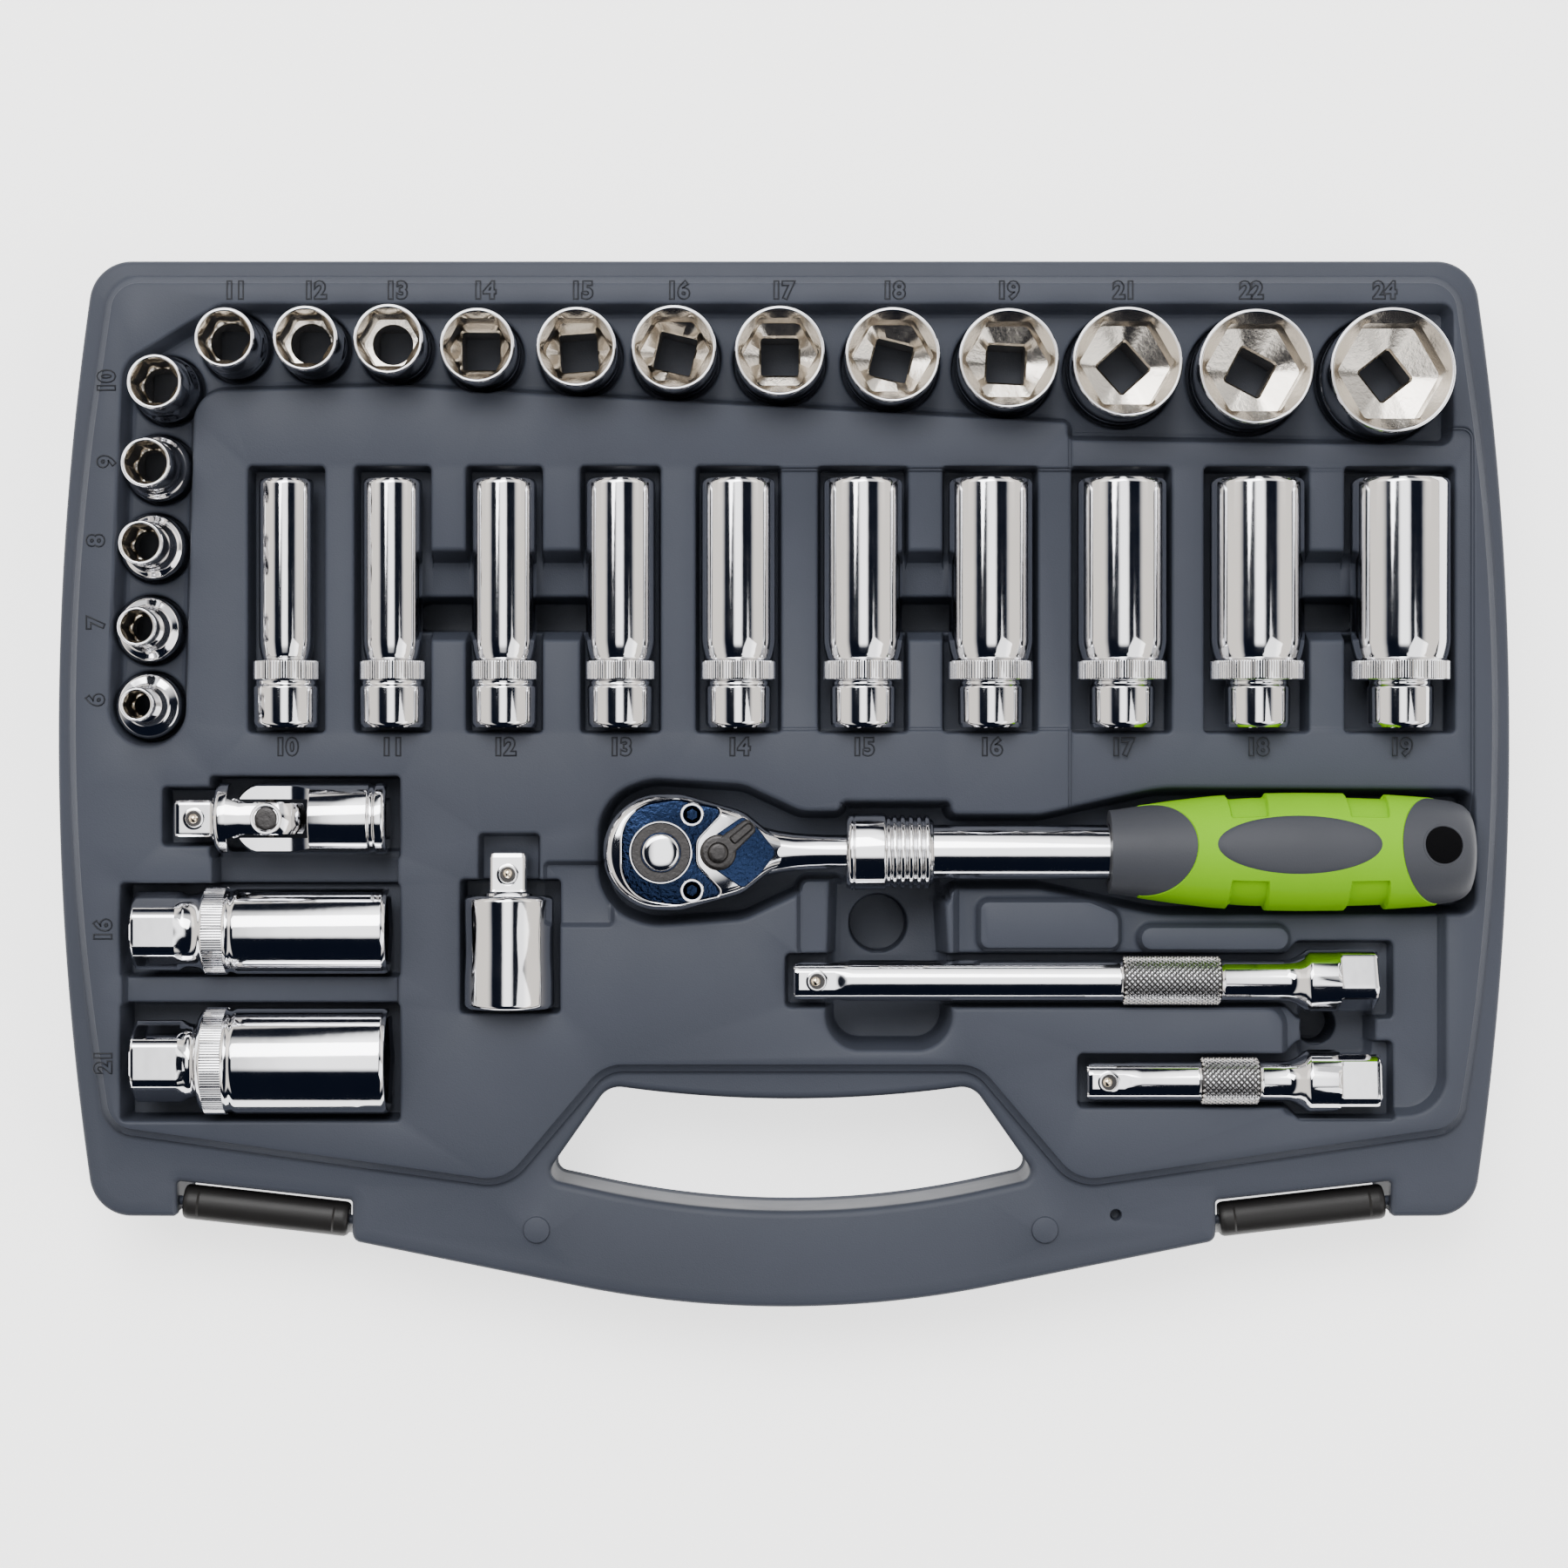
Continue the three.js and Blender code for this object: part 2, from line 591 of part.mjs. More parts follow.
function ratchetHead() {
  const body = prism(headOutline(), HEAD.bottom, HEAD.top);
  const shank = towardsX(cylinder(SHANK_RADIUS, 26, SHANK_END - RATCHET.headX, 14));
  const gearCavity = cylinder(RATCHET.gearRadius + 0.5, HEAD.floor, HEAD.top + 1, 24);
  const journal = cylinder(6.6, HEAD.bottom - 1, HEAD.floor + 1, 16);
  const coverSeat = cylinder(12.3, HEAD.cavityTop, HEAD.top + 1, 24);
  const pawlRoom = cylinder(13, HEAD.floor, HEAD.cavityTop + 0.5, 24).intersect(box(5.5, 20, -7.5, 7.5, -20, 20));
  const leverHole = cylinder(2.3, -1, HEAD.top + 1, 10).translate([LEVER_X - RATCHET.headX, 0, 0]);
  const screwHoles = SCREWS.map(([x, y]) =>
    cylinder(1.5, -2, HEAD.top + 1, 8).add(cylinder(2.9, HEAD.cavityTop, HEAD.top + 1, 12)).translate([x, y, 0]));
  return cut(body.add(shank), [gearCavity, journal, coverSeat, pawlRoom, leverHole, ...screwHoles]);
}

// Toothed drive gear with the square that takes the sockets, in one piece.
function driveGear() {
  const { gearRadius, teeth } = RATCHET;
  const rim = [];
  for (let i = 0; i < teeth; i++) {
    const tip = (i / teeth) * 2 * Math.PI;
    const root = ((i + 0.5) / teeth) * 2 * Math.PI;
    rim.push(new THREE.Vector2(gearRadius * Math.cos(tip), gearRadius * Math.sin(tip)));
    rim.push(new THREE.Vector2((gearRadius - 0.9) * Math.cos(root), (gearRadius - 0.9) * Math.sin(root)));
  }
  const gear = solid(new THREE.ExtrudeGeometry(new THREE.Shape(rim), { depth: 7.6, bevelEnabled: false }));
  const ring = cylinder(7.1, 3, HEAD.top - 0.2, 20);
  const journal = cylinder(6.3, HEAD.bottom - 0.6, -2, 16);
  const drive = tang(5.6, 17).rotate([180, 0, 0]);
  const buttonBore = cylinder(5.2, 2.4, HEAD.top + 1, 14);
  const stemBore = cylinder(1.2, -13, 3, 8);
  return cut(join([gear.translate([0, 0, HEAD.floor + 0.3]), ring, journal, drive]), [buttonBore, stemBore]);
}

// The ball's place in the drive square, which hangs upside down under the head.
const driveBall = () => tangBall(5.6, 17).rotate([180, 0, 0]);

const releaseButton = () =>
  turned([[0, -4.5], [0.9, -4.5], [0.9, 5.3], [4.9, 5.3], [4.9, 7.6], [3.6, 8.3], [0, 8.3]], 14);

function coverPlate() {
  const holes = SCREWS.map(([x, y]) => cylinder(2.9, 4, 8, 12).translate([x, y, 0]));
  const plate = cylinder(12, HEAD.cavityTop + CLEAR, HEAD.top, 24);
  return cut(plate, [cylinder(7.4, 4, 8, 20), ...holes]);
}

const coverScrew = () =>
  turned([[0, -1.4], [1.2, -1.4], [1.2, 5.5], [2.6, 5.5], [2.6, 7.1], [0, 7.1]], 12);

const LEVER_REST = 40; // degrees off the handle's axis
const PAWL_REST = 6;
// Crescent pawl that slides round beside the gear.
function pawl() {
  const inner = RATCHET.gearRadius + 0.3;
  const crescent = cut(cylinder(12.6, HEAD.floor + CLEAR, 4.6, 24), [cylinder(inner, -6, 6, 24)]);
  return crescent.intersect(box(6, 16, -6, 6, -6, 6)).rotate([0, 0, PAWL_REST]);
}

// Direction lever: a round boss on a short shaft, with a finger tab pointing up the handle.
function directionLever() {
  const boss = turned([[0, 0.5], [1.9, 0.5], [1.9, 7.3], [4.6, 7.3], [4.6, 9], [3.4, 9.8], [0, 9.8]], 14);
  const tab = prism([[0, -2.6, 0], [10.4, -1.7, 1.2], [10.4, 1.7, 1.2], [0, 2.6, 0]], 7.3, 9.6);
  return boss.add(tab).rotate([0, 0, LEVER_REST]);
}

// ---------------------------------------------------------------- telescoping handle, along X
function lockCollar() {
  const { x0, x1, radius } = COLLAR;
  const length = x1 - x0;
  const profile = [[0, 0], [radius - 0.6, 0], [radius, 0.8], [radius, 10.6], [radius - 1, 11.2]];
  for (let i = 0; i < 5; i++) {
    profile.push([radius - 0.4, 11.8 + 2.1 * i], [radius - 0.4, 12.7 + 2.1 * i], [radius - 1.4, 13.4 + 2.1 * i]);
  }
  profile.push([radius - 1.4, length], [0, length]);
  const front = cylinder(SHANK_RADIUS + 0.4, -1, 15, 14);
  const back = cylinder(TUBE.radius + 0.4, 10.6, length + 1, 16);
  return towardsX(cut(turned(profile, 18), [front, back])).translate([x0, 0, 0]);
}

function outerTube() {
  const { x0, x1, radius, bore } = TUBE;
  return towardsX(cut(cylinder(radius, x0, x1, 18), [cylinder(bore, x0 - 1, x1 + 1, 14)]));
}

const GRIP_PROFILE = [
  [10.6, 0],
  [11.6, 4],
  [13.2, 16],
  [14.6, 32],
  [15, 50],
  [14.8, 70],
  [13.9, 84],
  [12.6, 90],
  [8.6, 93.2],
];
const SLEEVE_SPAN = [13, 78];
const GRIP_ROLL = 9; // the grip lies slightly rolled, so its hanging hole leans towards the hinge side

const gripRadius = (along) => {
  const i = Math.max(1, GRIP_PROFILE.findIndex(([, at]) => at >= along));
  const [r0, a0] = GRIP_PROFILE[i - 1];
  const [r1, a1] = GRIP_PROFILE[i];
  return r0 + ((r1 - r0) * (along - a0)) / (a1 - a0);
};

// The grip core, waisted where the soft sleeve wraps it, with the hanging hole at its end.
function gripCore() {
  const [s0, s1] = SLEEVE_SPAN;
  const wrap = 2.4;
  const profile = [
    [0, 0],
    ...GRIP_PROFILE.filter(([, at]) => at < s0),
    [gripRadius(s0), s0],
    [gripRadius(s0) - wrap, s0],
    ...GRIP_PROFILE.filter(([, at]) => at > s0 && at < s1).map(([r, at]) => [r - wrap, at]),
    [gripRadius(s1) - wrap, s1],
    [gripRadius(s1), s1],
    ...GRIP_PROFILE.filter(([, at]) => at > s1),
    [0, 93.2],
  ];
  const socket = cylinder(TUBE.radius + CLEAR, -1, TUBE.x1 - HANDLE.x0 + 0.5, 18);
  const body = towardsX(cut(turned(profile, 20), [socket])).translate([HANDLE.x0, 0, 0]);
  const hole = cylinder(HANDLE.holeRadius, -20, 20, 14).rotate([-GRIP_ROLL, 0, 0]);
  return cut(body, [hole.translate([HANDLE.holeX, 0, 0])]);
}

function gripSleeve() {
  const [s0, s1] = SLEEVE_SPAN;
  const wrap = 2.4;
  const inside = GRIP_PROFILE.filter(([, at]) => at > s0 && at < s1);
  const end = [gripRadius(s1), s1 - CLEAR];
  const outer = [[gripRadius(s0), s0 + CLEAR], ...inside, end];
  const inner = outer.map(([r, at]) => [r - wrap + CLEAR, at]);
  const profile = [[0, s0 + CLEAR], ...outer, [0, s1 - CLEAR]];
  const hollow = [[0, s0], [inner[0][0], s0], ...inner, [inner.at(-1)[0], s1], [0, s1]];
  return towardsX(cut(turned(profile, 20), [turned(hollow, 20)])).translate([HANDLE.x0, 0, 0]);
}

// ---------------------------------------------------------------- the set, piece by piece
piece("case_tray", caseTray(), material.case);
piece("case_rim", caseRim(), material.case);
piece("case_base", caseBase(), material.case);
piece("latch_left", latch(-1), material.latch);
piece("latch_right", latch(1), material.latch);

for (const [size, x, y] of SHORT_SOCKETS) {
  piece(`short_socket_${size}`, shortSocket(size).translate([x, y, SHORT.seat + CLEAR]), material.chrome);
}
for (const [size, x] of DEEP_SOCKETS) {
  piece(`deep_socket_${size}`, towardsY(deepSocket(size)).translate([x, DEEP.driveY, DEEP.axisZ]), material.chrome);
}
for (const spark of SPARK_SOCKETS) {
  const place = (body) => towardsX(body).translate([SPARK.x0, spark.y, SPARK.axisZ]);
  piece(spark.name, place(sparkSocket(spark)), material.chrome);
  piece(`${spark.name}_insert`, place(sparkInsert(spark)), material.insert);
}

const atJoint = (body) => body.translate([UJ.x, UJ.y, UJ.axisZ]);
piece("universal_driver_yoke", atJoint(driverYoke()), material.chrome);
piece("universal_cross_block", atJoint(crossBlock()), material.chrome);
piece("universal_socket_yoke", atJoint(socketYoke()), material.chrome);
piece("universal_large_pin", atJoint(bigPivotPin()), material.black);
piece("universal_ball", atJoint(towardsMinusX(tangBall(13, 24.4))), material.nickel);

const atAdaptor = (body) => towardsY(body.rotate([0, 0, -90])).translate([ADAPTOR.x, ADAPTOR.endY, ADAPTOR.axisZ]);
const adaptorShoulder = ADAPTOR.shoulderY - ADAPTOR.endY;
piece("adaptor_body", atAdaptor(adaptorBody()), material.chrome);
piece("adaptor_ball", atAdaptor(tangBall(adaptorShoulder - 1, ADAPTOR.tangY - ADAPTOR.endY)), material.nickel);

[[LONG_BAR, 45], [SHORT_BAR, 0]].forEach(([bar, flatTurn]) => {
  const place = (body) => towardsMinusX(body).translate([bar.x1, bar.y, BAR.axisZ]);
  const length = bar.x1 - bar.x0;
  piece(bar.name, place(extensionBar(bar, flatTurn)), material.chrome);
  piece(`${bar.name}_ball`, place(tangBall(length - bar.tang - 1, length)), material.nickel);
});

const atHead = (body) => body.translate([RATCHET.headX, RATCHET.y, RATCHET.axisZ]);
const onAxis = (body) => body.translate([0, RATCHET.y, RATCHET.axisZ]);
piece("ratchet_head", atHead(ratchetHead()), material.chrome);
piece("ratchet_drive_gear", atHead(driveGear()), material.black);
piece("ratchet_drive_ball", atHead(driveBall()), material.nickel);
piece("ratchet_release_button", atHead(releaseButton()), material.chrome);
piece("ratchet_cover_plate", atHead(coverPlate()), material.chrome);
SCREWS.forEach(([x, y], i) => {
  piece(`ratchet_cover_screw_${i + 1}`, atHead(coverScrew().translate([x, y, 0])), material.black);
});
piece("ratchet_pawl", atHead(pawl()), material.black);
piece("ratchet_direction_lever", onAxis(directionLever().translate([LEVER_X, 0, 0])), material.black);
piece("ratchet_lock_collar", onAxis(lockCollar()), material.chrome);
piece("ratchet_outer_tube", onAxis(outerTube()), material.chrome);
piece("ratchet_grip_core", onAxis(gripCore()), material.gripGrey);
piece("ratchet_grip_sleeve", onAxis(gripSleeve()), material.gripGreen);

export default set;
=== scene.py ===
"""Socket wrench set in its case: moulded tray and base, latches, sockets, drive tools and the studio."""

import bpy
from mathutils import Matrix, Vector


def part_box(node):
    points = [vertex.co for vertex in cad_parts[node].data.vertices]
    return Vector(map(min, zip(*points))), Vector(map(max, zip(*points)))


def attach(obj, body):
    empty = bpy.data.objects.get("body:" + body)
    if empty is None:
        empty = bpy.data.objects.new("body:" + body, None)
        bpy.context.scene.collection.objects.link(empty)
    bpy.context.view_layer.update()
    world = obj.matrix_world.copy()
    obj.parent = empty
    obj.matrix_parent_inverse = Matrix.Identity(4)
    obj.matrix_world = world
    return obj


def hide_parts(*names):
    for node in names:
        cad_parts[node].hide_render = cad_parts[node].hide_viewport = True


bl_info = {
    "name": "Socket Wrench Set in Case",
    "version": (1, 0, 0),
    "blender": (4, 5, 0),
    "location": "View3D > Sidebar > Socket Set",
    "description": "Builds a three-eighths drive socket set lying in its moulded carry case",
    "category": "Add Mesh",
}

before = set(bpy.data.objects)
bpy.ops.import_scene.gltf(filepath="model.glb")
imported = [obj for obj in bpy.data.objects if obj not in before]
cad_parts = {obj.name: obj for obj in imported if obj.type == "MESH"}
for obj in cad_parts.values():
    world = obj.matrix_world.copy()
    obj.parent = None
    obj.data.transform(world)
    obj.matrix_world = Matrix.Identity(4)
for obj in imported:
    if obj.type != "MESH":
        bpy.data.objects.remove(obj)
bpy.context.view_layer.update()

import math

import bpy
import numpy as np
from mathutils import Vector
from mathutils.geometry import delaunay_2d_cdt

MM = 0.001
AROUND = 96  # points round a turned piece
SMOOTH = 25.0  # degrees below which neighbouring faces shade as one surface


def mid(node):
    """The middle of a CAD node's box, in millimetres."""
    low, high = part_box(node)
    return np.array((low + high) / 2) * 1000


def span(node):
    """A CAD node's lowest and highest corners, in millimetres."""
    low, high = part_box(node)
    return np.array(low) * 1000, np.array(high) * 1000


# ------------------------------------------------------------------ settings
class CaseSettings(bpy.types.PropertyGroup):
    plastic: bpy.props.FloatVectorProperty(
        name="Plastic", description="Colour of the moulded case", subtype="COLOR", default=(0.036, 0.041, 0.0555)
    )
    latch_plastic: bpy.props.FloatVectorProperty(
        name="Latch plastic", description="Colour of the latches", subtype="COLOR", default=(0.012, 0.0115, 0.0115)
    )
    deck_height: bpy.props.FloatProperty(
        name="Deck height", description="Height of the raised deck", subtype="DISTANCE", default=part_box("case_tray")[1].z
    )
    rim_height: bpy.props.FloatProperty(
        name="Rim height", description="Height of the border and the handle", subtype="DISTANCE", default=0.0322
    )
    number_height: bpy.props.FloatProperty(
        name="Number height", description="Height of the moulded size numbers", subtype="DISTANCE", default=0.0044
    )


class ToolSettings(bpy.types.PropertyGroup):
    chrome: bpy.props.FloatVectorProperty(
        name="Chrome", description="Colour of the chrome plating", subtype="COLOR", default=(0.70, 0.70, 0.72)
    )
    chrome_roughness: bpy.props.FloatProperty(
        name="Chrome roughness", description="Blur of the reflections in the chrome", default=0.07, min=0.0, max=1.0
    )
    rib_pitch: bpy.props.FloatProperty(
        name="Rib pitch", description="Spacing of the ribs round a socket's ring", subtype="DISTANCE", default=0.00068
    )
    knurl_pitch: bpy.props.FloatProperty(
        name="Knurl pitch", description="Spacing of the diamonds on the bars", subtype="DISTANCE", default=0.0015
    )
    grip_green: bpy.props.FloatVectorProperty(
        name="Grip sleeve", description="Colour of the soft sleeve", subtype="COLOR", default=(0.165, 0.43, 0.0)
    )
    grip_grey: bpy.props.FloatVectorProperty(
        name="Grip core", description="Colour of the grip's hard core", subtype="COLOR", default=(0.041, 0.044, 0.053)
    )


class StudioSettings(bpy.types.PropertyGroup):
    camera_height: bpy.props.FloatProperty(
        name="Camera height", description="Height of the camera above the deck", subtype="DISTANCE", default=0.9
    )
    focal_length: bpy.props.FloatProperty(
        name="Focal length", description="Length of the camera's lens in millimetres", default=80.1
    )
    floor: bpy.props.FloatVectorProperty(
        name="Floor", description="Colour of the floor", subtype="COLOR", default=(0.95, 0.95, 0.95)
    )


# ------------------------------------------------------------------ node helpers
def new_material(name):
    mat = bpy.data.materials.new(name)
    mat.use_nodes = True
    return mat, mat.node_tree, mat.node_tree.nodes["Principled BSDF"]


def link(tree, a, out, b, into):
    tree.links.new(a.outputs[out], b.inputs[into])


def noise(tree, coords, scale, detail=4.0, roughness=0.55):
    node = tree.nodes.new("ShaderNodeTexNoise")
    node.inputs["Scale"].default_value = scale
    node.inputs["Detail"].default_value = detail
    node.inputs["Roughness"].default_value = roughness
    link(tree, coords, "Object", node, "Vector")
    return node


def ramp(tree, source, stops):
    node = tree.nodes.new("ShaderNodeValToRGB")
    elements = node.color_ramp.elements
    while len(elements) < len(stops):
        elements.new(0.5)
    for element, (at, colour) in zip(elements, stops):
        element.position = at
        element.color = (*colour, 1.0) if len(colour) == 3 else colour
    tree.links.new(source, node.inputs["Fac"])
    return node


def remap(tree, source, low, high):
    node = tree.nodes.new("ShaderNodeMapRange")
    node.inputs["To Min"].default_value = low
    node.inputs["To Max"].default_value = high
    tree.links.new(source, node.inputs["Value"])
    return node


def bump(tree, source, strength, distance, shader, before=None):
    node = tree.nodes.new("ShaderNodeBump")
    node.inputs["Strength"].default_value = strength
    node.inputs["Distance"].default_value = distance
    tree.links.new(source, node.inputs["Height"])
    if before is not None:
        link(tree, before, "Normal", node, "Normal")
    link(tree, node, "Normal", shader, "Normal")
    return node


def shade(colour, factor):
    return tuple(min(1.0, c * factor) for c in colour)


def moulded_plastic(name, colour, grain, roughness):
    """Moulded plastic: faint flow mottling, a fine spark-eroded grain and slightly uneven gloss."""
    mat, tree, shader = new_material(name)
    coords = tree.nodes.new("ShaderNodeTexCoord")
    flow = noise(tree, coords, 14.0, 5.0)
    tint = ramp(tree, flow.outputs["Fac"], [(0.3, shade(colour, 0.93)), (0.72, shade(colour, 1.07))])
    link(tree, tint, "Color", shader, "Base Color")
    gloss = remap(tree, noise(tree, coords, 60.0, 3.0).outputs["Fac"], roughness - 0.06, roughness + 0.08)
    link(tree, gloss, "Result", shader, "Roughness")
    fine = noise(tree, coords, 2600.0, 2.0, 0.6)
    skin = bump(tree, fine.outputs["Fac"], grain, 0.00012, shader)
    wave = noise(tree, coords, 90.0, 2.0)
    bump(tree, wave.outputs["Fac"], 0.12, 0.0004, shader, before=skin)
    shader.inputs["Specular IOR Level"].default_value = 0.2
    return mat


def plated_steel(name, colour, roughness, scratch=0.0, tint_spread=0.03):
    """Polished or plated steel: handling smudges in the gloss and a very slight ripple."""
    mat, tree, shader = new_material(name)
    shader.inputs["Metallic"].default_value = 1.0
    coords = tree.nodes.new("ShaderNodeTexCoord")
    cloud = noise(tree, coords, 45.0, 4.0)
    tint = ramp(
        tree, cloud.outputs["Fac"], [(0.25, shade(colour, 1.0 - tint_spread)), (0.75, shade(colour, 1.0 + tint_spread))]
    )
    link(tree, tint, "Color", shader, "Base Color")
    smudge = remap(tree, noise(tree, coords, 160.0, 5.0).outputs["Fac"], roughness * 0.6, roughness * 1.6)
    link(tree, smudge, "Result", shader, "Roughness")
    ripple = noise(tree, coords, 130.0, 2.0)
    first = bump(tree, ripple.outputs["Fac"], 0.06, 0.0004, shader)
    if scratch:
        grain = noise(tree, coords, 900.0, 3.0)
        bump(tree, grain.outputs["Fac"], scratch, 0.0002, shader, before=first)
    return mat


def soft_rubber(name, colour, grain=0.25, roughness=0.5):
    """Soft overmoulding: satin, with a fine matt grain."""
    mat, tree, shader = new_material(name)
    coords = tree.nodes.new("ShaderNodeTexCoord")
    cloud = noise(tree, coords, 30.0, 4.0)
    tint = ramp(tree, cloud.outputs["Fac"], [(0.3, shade(colour, 0.95)), (0.7, shade(colour, 1.05))])
    link(tree, tint, "Color", shader, "Base Color")
    gloss = remap(tree, noise(tree, coords, 220.0, 3.0).outputs["Fac"], roughness - 0.05, roughness + 0.08)
    link(tree, gloss, "Result", shader, "Roughness")
    fine = noise(tree, coords, 1800.0, 2.0)
    bump(tree, fine.outputs["Fac"], grain, 0.00012, shader)
    shader.inputs["Specular IOR Level"].default_value = 0.03
    return mat


LOOK = {}


def make_finishes():
    case, tools = bpy.context.scene.socket_case, bpy.context.scene.socket_tools
    LOOK["case"] = moulded_plastic("case plastic", tuple(case.plastic), 0.35, 0.5)
    LOOK["latch"] = moulded_plastic("latch plastic", tuple(case.latch_plastic), 0.25, 0.38)
    # the numbers are the case plastic darkened to three tenths: painted shade standing in for the shade on the raised
    # outlines
    LOOK["number"] = moulded_plastic("moulded numbers in painted shade", shade(tuple(case.plastic), 0.3), 0.2, 0.45)
    LOOK["chrome"] = plated_steel("chrome plating", tuple(tools.chrome), tools.chrome_roughness)
    LOOK["satin"] = plated_steel("satin chrome", (0.56, 0.52, 0.465), 0.2, 0.3, 0.08)
    LOOK["blue"] = plated_steel("polished cover steel", (0.008, 0.014, 0.034), 0.12, 0.9, 0.6)
    # dark steel for the lever, pins, screws and dial; it also serves as painted shade in the detent holes and under the
    # bars' knurling
    LOOK["dark"] = plated_steel("black oxide steel and painted shade", (0.045, 0.043, 0.043), 0.34, 0.5, 0.1)
    LOOK["ball"] = plated_steel("bearing steel", (0.78, 0.66, 0.5), 0.12)
    LOOK["green"] = soft_rubber("green sleeve", tuple(tools.grip_green))
    LOOK["grey"] = moulded_plastic("grip core plastic", tuple(tools.grip_grey), 0.3, 0.5)
    # near-black rubber for the spark plug sleeves; the grip's hanging hole also takes it as painted shade
    LOOK["insert"] = soft_rubber("spark plug sleeve and painted hole shade", (0.0025, 0.0025, 0.003), 0.4, 0.8)
    LOOK["knurl"] = plated_steel("knurled steel", (0.62, 0.62, 0.63), 0.2, 0.3, 0.08)


# ------------------------------------------------------------------ mesh helpers, all in millimetres
class Stock:
    """Closed shells gathered into one mesh. Each shell is turned so its faces point outwards."""

    def __init__(self):
        self.points, self.faces, self.looks, self.count = [], [], [], 0

    def add(self, points, faces, look=0):
        points = np.asarray(points, float)
        volume = 0.0
        for face in faces:
            a = points[face[0]]
            for b, c in zip(face[1:-1], face[2:]):
                volume += np.dot(a, np.cross(points[b], points[c]))
        order = 1 if volume >= 0 else -1
        self.faces += [tuple(i + self.count for i in face[::order]) for face in faces]
        self.looks += [look] * len(faces)
        self.points.append(points)
        self.count += len(points)
        return self

    def placed(self, matrix, origin):
        """The same shells moved: matrix is 3 by 3 and turns without mirroring."""
        self.points = [p @ np.asarray(matrix, float).T + np.asarray(origin, float) for p in self.points]
        return self

    def join(self, other):
        self.faces += [tuple(i + self.count for i in face) for face in other.faces]
        self.looks += other.looks
        self.points += other.points
        self.count += other.count
        return self


def finish_piece(name, stock, looks, body, replaces=(), sharp=SMOOTH):
    """Turns gathered shells into a shown piece riding on a body."""
    mesh = bpy.data.meshes.new(name)
    mesh.from_pydata(np.concatenate(stock.points) * MM, [], stock.faces)
    for look in looks:
        mesh.materials.append(LOOK[look])
    mesh.polygons.foreach_set("material_index", stock.looks)
    mesh.shade_smooth()
    mesh.set_sharp_from_angle(angle=math.radians(sharp))
    mesh.update()
    piece = bpy.data.objects.new(name, mesh)
    bpy.context.scene.collection.objects.link(piece)
    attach(piece, body)
    if replaces:
        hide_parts(*replaces)
    return piece


def loft(rings, closed=False):
    """Skin between rings of equal count, capped at both ends unless it closes on itself."""
    rings = [np.asarray(r, float) for r in rings]
    n, count = len(rings[0]), len(rings)
    faces = []
    for k in range(count if closed else count - 1):
        a, b = k * n, ((k + 1) % count) * n
        faces += [(a + i, a + (i + 1) % n, b + (i + 1) % n, b + i) for i in range(n)]
    if not closed:
        faces.append(tuple(range(n))[::-1])
        faces.append(tuple(range((count - 1) * n, count * n)))
    return np.concatenate(rings), faces


def section(limit, sides=0, apothem=0.0, turn=0.0, n=AROUND):
    """Radius at each angle of a circle, or of a many-sided shape whose corners a circle trims."""
    angle = np.arange(n) * 2 * math.pi / n
    if not sides:
        return angle, np.full(n, float(limit))
    step = 2 * math.pi / sides
    off = (angle - math.radians(turn) + step / 2) % step - step / 2
    return angle, np.minimum(limit, apothem / np.cos(off))


def stack(rows, closed=False, n=AROUND):
    """A shell about Z from rows of (height, limiting radius[, sides, apothem, turn])."""
    rings = []
    for height, *shape in rows:
        angle, radius = section(*shape, n=n)
        rings.append(np.stack([radius * np.cos(angle), radius * np.sin(angle), np.full(n, float(height))], 1))
    return loft(rings, closed)


def rounded_profile(corners, steps=5):
    """Profile points (height, radius) with the given corners rounded: (height, radius, rounding)."""
    out = []
    for i, (h, r, fillet) in enumerate(corners):
        if fillet <= 0 or i in (0, len(corners) - 1):
            out.append((h, r))
            continue
        p = np.array([h, r])
        a = np.array(corners[i - 1][:2]) - p
        b = np.array(corners[i + 1][:2]) - p
        reach = min(fillet, np.linalg.norm(a) * 0.48, np.linalg.norm(b) * 0.48)
        start, end = p + a / np.linalg.norm(a) * reach, p + b / np.linalg.norm(b) * reach
        for k in range(steps + 1):
            t = k / steps
            out.append(tuple((1 - t) ** 2 * start + 2 * t * (1 - t) * p + t * t * end))
    return out


TOWARDS_X = ((0, 0, 1), (0, 1, 0), (-1, 0, 0))
TOWARDS_MINUS_X = ((0, 0, -1), (0, 1, 0), (1, 0, 0))
TOWARDS_Y = ((1, 0, 0), (0, 0, 1), (0, -1, 0))
UPRIGHT = ((1, 0, 0), (0, 1, 0), (0, 0, 1))
ROLLED = ((1, 0, 0), (0, 0.9877, 0.1564), (0, -0.1564, 0.9877))  # the grip lies rolled by nine degrees
UPSIDE_DOWN = ((1, 0, 0), (0, -1, 0), (0, 0, -1))


def turned_z(degrees):
    c, s = math.cos(math.radians(degrees)), math.sin(math.radians(degrees))
    return ((c, -s, 0), (s, c, 0), (0, 0, 1))


def dome(radius, low=-1.0, rings=12, n=32):
    """A ball as rings from its bottom (or from a share of its radius) up to its pole."""
    rows = []
    start = math.asin(low)
    for k in range(rings + 1):
        phi = start + (math.pi / 2 - start) * k / rings
        rows.append((radius * math.sin(phi), max(radius * math.cos(phi), 0.004)))
    return stack(rows, n=n)


# ------------------------------------------------------------------ repeated detail by Geometry Nodes
def new_tree(name, sizes):
    tree = bpy.data.node_groups.new(name, "GeometryNodeTree")
    tree.interface.new_socket("Geometry", in_out="OUTPUT", socket_type="NodeSocketGeometry")
    for label, kind, value in sizes:
        socket = tree.interface.new_socket(label, in_out="INPUT", socket_type=kind)
        if value is not None:
            socket.default_value = value
    return tree, tree.nodes.new("NodeGroupInput"), tree.nodes.new("NodeGroupOutput")


